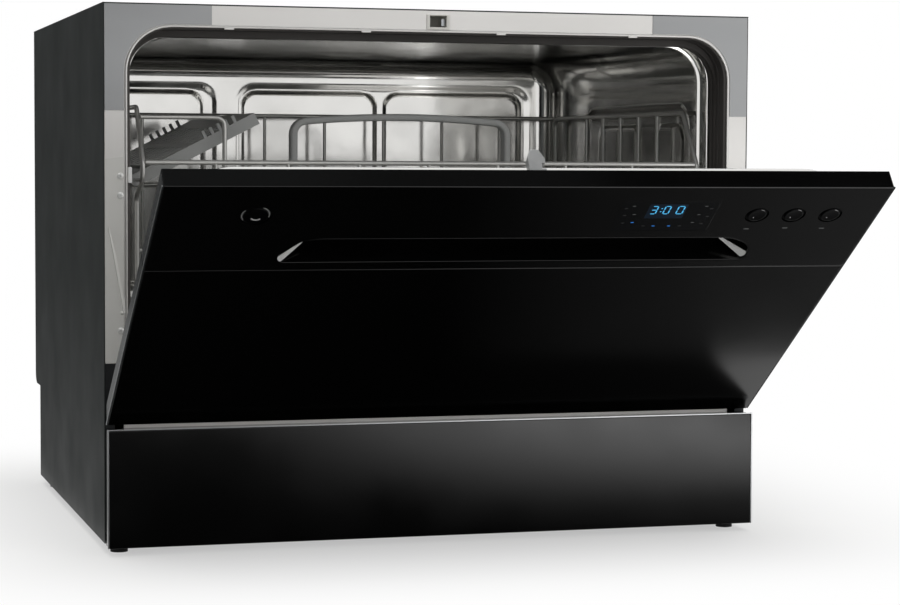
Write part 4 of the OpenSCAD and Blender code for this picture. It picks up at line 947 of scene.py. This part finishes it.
# Liner: flange and pressed pan of bright stainless, each step given as its inset and height
liner = {"flange": (-271, 271, 124, 434, 8), "pan": (-250, 250, 148, 416, 32), "sheet": 1.0,
         "flangeSteps": ((0, -2.6), (0.3, -2.1), (0.8, -2)),
         "panSteps": ((-4, -2), (-2, -1.6), (-0.6, -0.4), (0, 1.5), (0, 10), (0.7, 13), (2.4, 15.6),
                      (5, 17.3), (8, 18)), "dispenser": (-66, 86, 209, 296)}
rings = []
for (x0, x1, z0, z1, r), steps, eased in ((liner["flange"], liner["flangeSteps"], 0),
                                          (liner["pan"], liner["panSteps"], 0.6)):
    for inset, y in steps:
        loop = box2d(x0 + inset, x1 - inset, z0 + inset, z1 - inset, r - inset * eased, 12)
        rings.append([(x, y, z) for x, z in loop])
work = editable(skinned(rings))
rim = lastRim(work, len(rings[0]))
rim += edgeLoop(work, [(x, 18, z) for x, z in box2d(*liner["dispenser"], 3)])
fillIn(work, rim, (0, 1, 0))
bmesh.ops.recalc_face_normals(work, faces=work.faces)
if sum(f.normal.y * f.calc_area() for f in work.faces) < 0:
    bmesh.ops.reverse_faces(work, faces=work.faces)
mesh = worked(finished(work), [("SOLIDIFY", {"thickness": liner["sheet"], "offset": -1.0})])
addPiece("doorLiner", mesh, onDoor, "door_liner", smooth=40)


def buttonCap(x, r):  # a raised cap with a soft edge, in a sunken ring
    c = r - 1.7
    profile = [(0.01, 18.15), (c * 0.5, 18.17), (c * 0.8, 18.28), (c - 1.1, 18.38), (c - 0.6, 18.33),
               (c - 0.25, 18.15),
               (c - 0.05, 17.85), (c, 17.4), (c + 0.12, 16.9), (r - 0.35, 16.9), (r - 0.1, 16.8), (r, 16.5),
               (r, 15.4), (r + 1.6, 15.4), (r + 1.6, 14.2), (0.01, 14.2)]
    return lathe(profile, (x, 0, controlsZ), "Y", 64)


addPiece("powerButton", buttonCap(powerX, door["powerRadius"]), onDoor, "power_button", smooth=50)
for i, x in enumerate(buttonsX):
    addPiece(f"programmeButton{i + 1}", buttonCap(x, door["buttonRadius"]), onDoor,
             f"programme_button_{i + 1}", smooth=50)

# Display: window, lit digits and pilot lights
x0, x1, z0, z1 = door["window"]
addPiece("displayWindow", plate([box2d(x0 + 0.2, x1 - 0.2, z0 + 0.2, z1 - 0.2, 0.8)], face, face + 2, 0.15),
         onDoor, "display_window")


def segments(digit, x, z, width, height):  # the lit bars of one seven-segment digit
    t, half = height * 0.05, height / 2
    bars = {"a": (0, height, width, height), "g": (0, half, width, half), "d": (0, 0, width, 0),
            "b": (width, half, width, height), "c": (width, 0, width, half), "f": (0, half, 0, height),
            "e": (0, 0, 0, half)}
    loops = []
    for name in {"3": "abgcd", "0": "abcdef"}[digit]:
        a, b = Vector(bars[name][:2]), Vector(bars[name][2:])
        along = (b - a).normalized() * t
        across = Vector((-along.y, along.x))
        a, b = a + along * 0.6, b - along * 0.6
        shape = [a, a + along + across, b - along + across, b, b - along - across, a + along - across]
        loops.append([(x + p.x, z + p.y) for p in shape])
    return loops


display = {"field": (87, 117, 397.3, 415.5), "digits": (("3", 89.8, 4.3), ("0", 99.9, 4.2),
                                                        ("0", 110.2, 4.8)),
           "digitLow": 403.2, "digitHeight": 9.6, "colonX": 97.6, "colonZ": (406, 410),
           "marks": {  # the middle of each small dash; grey ones are printed, blue ones are lit
               "printedMarks": (printGrey, 2.6, 0.9, ((74.9, 413.1), (78.1, 402.2), (131.7, 413),
                                                      (129.2, 402), (127.4, 391.7))),
               "litMarks": (litBlue, 2.4, 0.9, ((79.7, 391.9), (97.7, 387.3), (110, 387.2))),
               "faintMarks": (printFaint, 2.6, 1.1, ((69.7, 409.9), (70.9, 401.2), (72.4, 391.2),
                                                     (89.8, 387.3),
                                                     (118.4, 387.3), (136.6, 409.8), (136.6, 399.7),
                                                     (134.7, 390.4))),
               "keyMarks": (printGrey, 4.2, 1.3, ((173.7, 383), (204.8, 384.1), (235.3, 383.4)))}}
digits = []
for digit, x, width in display["digits"]:
    digits += segments(digit, x, display["digitLow"], width, display["digitHeight"])
digits += [circle(display["colonX"], z, 0.6, 12) for z in display["colonZ"]]
addPiece("displayField", plate([box2d(*display["field"], 0.8)], -18.02, -17.9, 0.02), onDoor,
         "display_window", digitField, False)
addPiece("displayDigits", plate(digits, -18.06, -17.95, 0.02), onDoor, "display_window", litDigits, False)
for name, (ink, width, height, spots) in display["marks"].items():
    node = "control_panel" if name == "keyMarks" else "display_window"
    dashes = [box2d(x - width / 2, x + width / 2, z - height / 2, z + height / 2, 0.3, 3) for x, z in spots]
    addPiece(name, plate(dashes, -18.05, -17.95, 0.02), onDoor, node, ink, False)


def capArc(x, r, start, end, out, thick):  # a pale arc laid on a cap, from one angle about x to another; it serves as a painted rim highlight and as a printed glyph
    angles = [math.radians(start + (end - start) * k / 14) for k in range(15)]
    line = [(x + r * math.cos(a), -out, controlsZ + r * math.sin(a)) for a in angles]
    return wires([line], thick, 0, sheenArcAndPrintGrey, sides=8)


# Power cap: two rim arcs as painted highlight, and the printed power glyph as the small arc inside
marks = joined(capArc(powerX, 9.9, 145, 215, 17.0, 0.42), capArc(powerX, 9.9, 65, -12, 17.0, 0.42),
               capArc(powerX + 0.4, 4.2, 212, 318, 18.2, 0.62))
addPiece("powerMark", marks, onDoor, "power_button", sheenArcAndPrintGrey, False)
# Each programme cap: a pale arc on its right rim as painted highlight, and a pale dot
dot = [(0.01, 18.75), (0.35, 18.7), (0.6, 18.4), (0.01, 18.2)]
for i, x in enumerate(buttonsX):
    marks = joined(capArc(x - 0.4, 7.1, 78, -48, 17.9, 0.34),
                   lathe(dot, (x - 2.2, 0, controlsZ - 2.4), "Y", 16))
    addPiece(f"programmeMark{i + 1}", marks, onDoor, f"programme_button_{i + 1}", sheenArcAndPrintGrey, False)

points = [(s * 261, -2, z) for s in (-1, 1) for z in (160, 235, 330, 400)]
addPiece("doorScrews", screws(points, 3, 0.9, -90, screwSteel), onDoor, "door_screws", screwSteel, smooth=30)
print("door is made")

# ---- rack ----

rack = {"w": 239.5, "rim": 357, "front": 26, "base": 58, "rear": 402, "floor": 166, "bars": 168,
        "frontRim": 312, "drop": 298, "back": 284, "thick": 2.0, "fine": 1.6, "shelf": 297.5,
        "wheelsY": (78, 355), "axle": 153.4, "wheelX": 236.5, "hangers": (229, 232),
        "axleEnds": (231, 241.5), "join": 120,
        # the first bar of each row, their number and pitch
        "crossBars": (101, 7, 43), "longBars": (-200, 11, 40), "sideBars": (120, 5, 47),
        "endBars": (-180, 7, 60),
        "loopX": 168, "loopY": 50, "loopTop": 349, "loopFoot": 61.7, "railZ": 240, "rearRailZ": 290}
w, rim, front, base, rear, floorZ, low = (rack[key] for key in (
    "w", "rim", "front", "base", "rear", "floor", "bars"))
thick, fine, frontRim, drop, back = (rack[key] for key in ("thick", "fine", "frontRim", "drop", "back"))


def bars(lines, radius, bend=0, count=1, step=0, axis=0):  # rack wires, repeated in steps along an axis
    return wires(lines, radius, bend, finishes["rack_wire"], count,
                 tuple(step * (axis == k) for k in range(3)))


join, upperZ = rack["join"], floorZ + 2.4
floorLoop = [(-w, join, floorZ), (-w, base, floorZ), (w, base, floorZ), (w, rear, floorZ), (-w, rear, floorZ),
             (-w, join, floorZ)]
y, *crossRow = rack["crossBars"]
x, *longRow = rack["longBars"]
parts = [bars([floorLoop], thick, 9), bars([[(-w, y, floorZ), (w, y, floorZ)]], fine, 0, *crossRow, 1),
         bars([[(x, base, upperZ), (x, rear, upperZ)]], fine, 0, *longRow)]
for s in (-1, 1):
    for y in rack["wheelsY"]:
        sides = sorted(s * x for x in rack["hangers"])
        hanger = plate([box2d(y - 7, y + 7, rack["axle"] - 6, floorZ, 4)], *sides, 0.4, "X")
        parts += [hanger, bars([[(s * x, y, rack["axle"]) for x in rack["axleEnds"]]], 2.5)]
addPiece("rackFloor", joined(*parts), inCabinet, "rack_floor", evened=False)

parts = []
y, *sideRow = rack["sideBars"]
for side in (-w, w):
    frameWire = [(side, rear, floorZ), (side, rear, rim), (side, base, rim), (side, front, frontRim),
                 (side, front, drop), (side, base, back), (side, base, floorZ)]
    parts += [bars([frameWire], thick, 9), bars([[(side, y, low), (side, y, rim)]], fine, 0, *sideRow, 1),
              bars([[(side, front + 8, rack["shelf"]), (side, rear, rack["shelf"])]], fine)]
addPiece("rackSides", joined(*parts), inCabinet, "rack_sides", evened=False)

x, *endRow = rack["endBars"]
bentWire = [(x, front, frontRim), (x, front, drop), (x, base, back), (x, base, low)]
loopX, loopY, loopTop, loopFoot = (-rack["loopX"], rack["loopY"], rack["loopTop"], rack["loopFoot"])
loopWire = [(-w + 2, loopY, loopTop), (loopX, loopY, loopTop), (loopX, loopY, drop), (loopX, loopFoot, back),
            (loopX, loopFoot, low)]
rails = [[(-w + 2, y, z), (w - 2, y, z)]
         for y, z in ((rear, rim), (rear, rack["rearRailZ"]), (front, frontRim))]
parts = [bars(rails, thick), bars([[(x, rear, low), (x, rear, rim)]], fine, 0, *endRow),
         bars([[(-w + 2, base, rack["railZ"]), (w - 2, base, rack["railZ"])]], fine),
         bars([bentWire], fine, 5, *endRow), bars([loopWire], thick, 7)]
addPiece("rackEnds", joined(*parts), inCabinet, "rack_ends", evened=False)

tines = {"base": 171.6, "height": 82, "thick": 1.5, "y": (190, 300), "x": -168, "count": 15, "pitch": 24,
         "railEnd": 200}
parts = []
x, z, end = tines["x"], tines["base"], tines["railEnd"]
for y in tines["y"]:
    parts += [bars([[(-end, y, z), (end, y, z)]], fine),
              bars([[(x, y, z), (x, y, z + tines["height"])]], tines["thick"], 0, tines["count"],
                   tines["pitch"])]
addPiece("plateTines", joined(*parts), inCabinet, "plate_tines", evened=False)

# Basket handle: a flat bow with rounded edges and a shallow crown
handle = {"x": (-106, 88), "y": (77, 89), "low": 261, "thick": 6, "corner": 14, "crown": 905, "top": 354,
          "soft": 2.2}
middle = sum(handle["x"]) / 2
away, centreZ = handle["crown"] - handle["corner"], handle["top"] - handle["crown"]
reach = (handle["x"][1] - handle["x"][0]) / 2 - handle["corner"]
lean = math.degrees(math.asin(reach / away))
cornerZ = centreZ + math.sqrt(away ** 2 - reach ** 2)
bow = [(handle["x"][0], handle["low"], -1, 0)]
for x, z, r, start, end, steps in ((middle - reach, cornerZ, handle["corner"], 180, 90 + lean, 8),
                                   (middle, centreZ, handle["crown"], 90 + lean, 90 - lean, 24),
                                   (middle + reach, cornerZ, handle["corner"], 90 - lean, 0, 8)):
    for k in range(steps + 1):
        a = math.radians(start + (end - start) * k / steps)
        bow.append((x + r * math.cos(a), z + r * math.sin(a), math.cos(a), math.sin(a)))
bow.append((handle["x"][1], handle["low"], 1, 0))
section = box2d(-handle["thick"], 0, *handle["y"], handle["soft"], 4)
addPiece("basketHandle", sweep(section, bow), inCabinet, "basket_handle")

wheelHalf = [(5.0, 3.5), (5.4, 2.6), (7.2, 2.4), (7.6, 3.4), (8.6, 3.4), (9.0, 2.8)]  # radius and half width
wheelProfile = ([(2.6, -3.5)] + [(r, -t) for r, t in wheelHalf] + wheelHalf[::-1] + [(2.6, 3.5)])
for i, (y, s) in enumerate((y, s) for y in rack["wheelsY"] for s in (-1, 1)):
    wheel = lathe(wheelProfile, (s * rack["wheelX"], y, rack["axle"]), "X", 40)
    addPiece(f"rackWheel{i + 1}", wheel, inCabinet, f"rack_wheel_{i + 1}", smooth=30)
print("rack is made")


def soften(names, width):  # the frame's own pieces, their edges eased
    for name in names:
        piece = frame["nodes"][name]
        weld = piece.modifiers.new("weld", "WELD")
        weld.merge_threshold = 0.00001
        bevel = piece.modifiers.new("eased", "BEVEL")
        bevel.width, bevel.segments, bevel.limit_method = width * mm, 2, "ANGLE"
        bevel.angle_limit = math.radians(40)
        bevel.use_clamp_overlap = True


soften(["cup_shelf", "latch_hook", "latch_catch", "cutlery_basket"], 0.4)
frame["nodes"]["latch_hook"].data.materials[0] = hookZinc
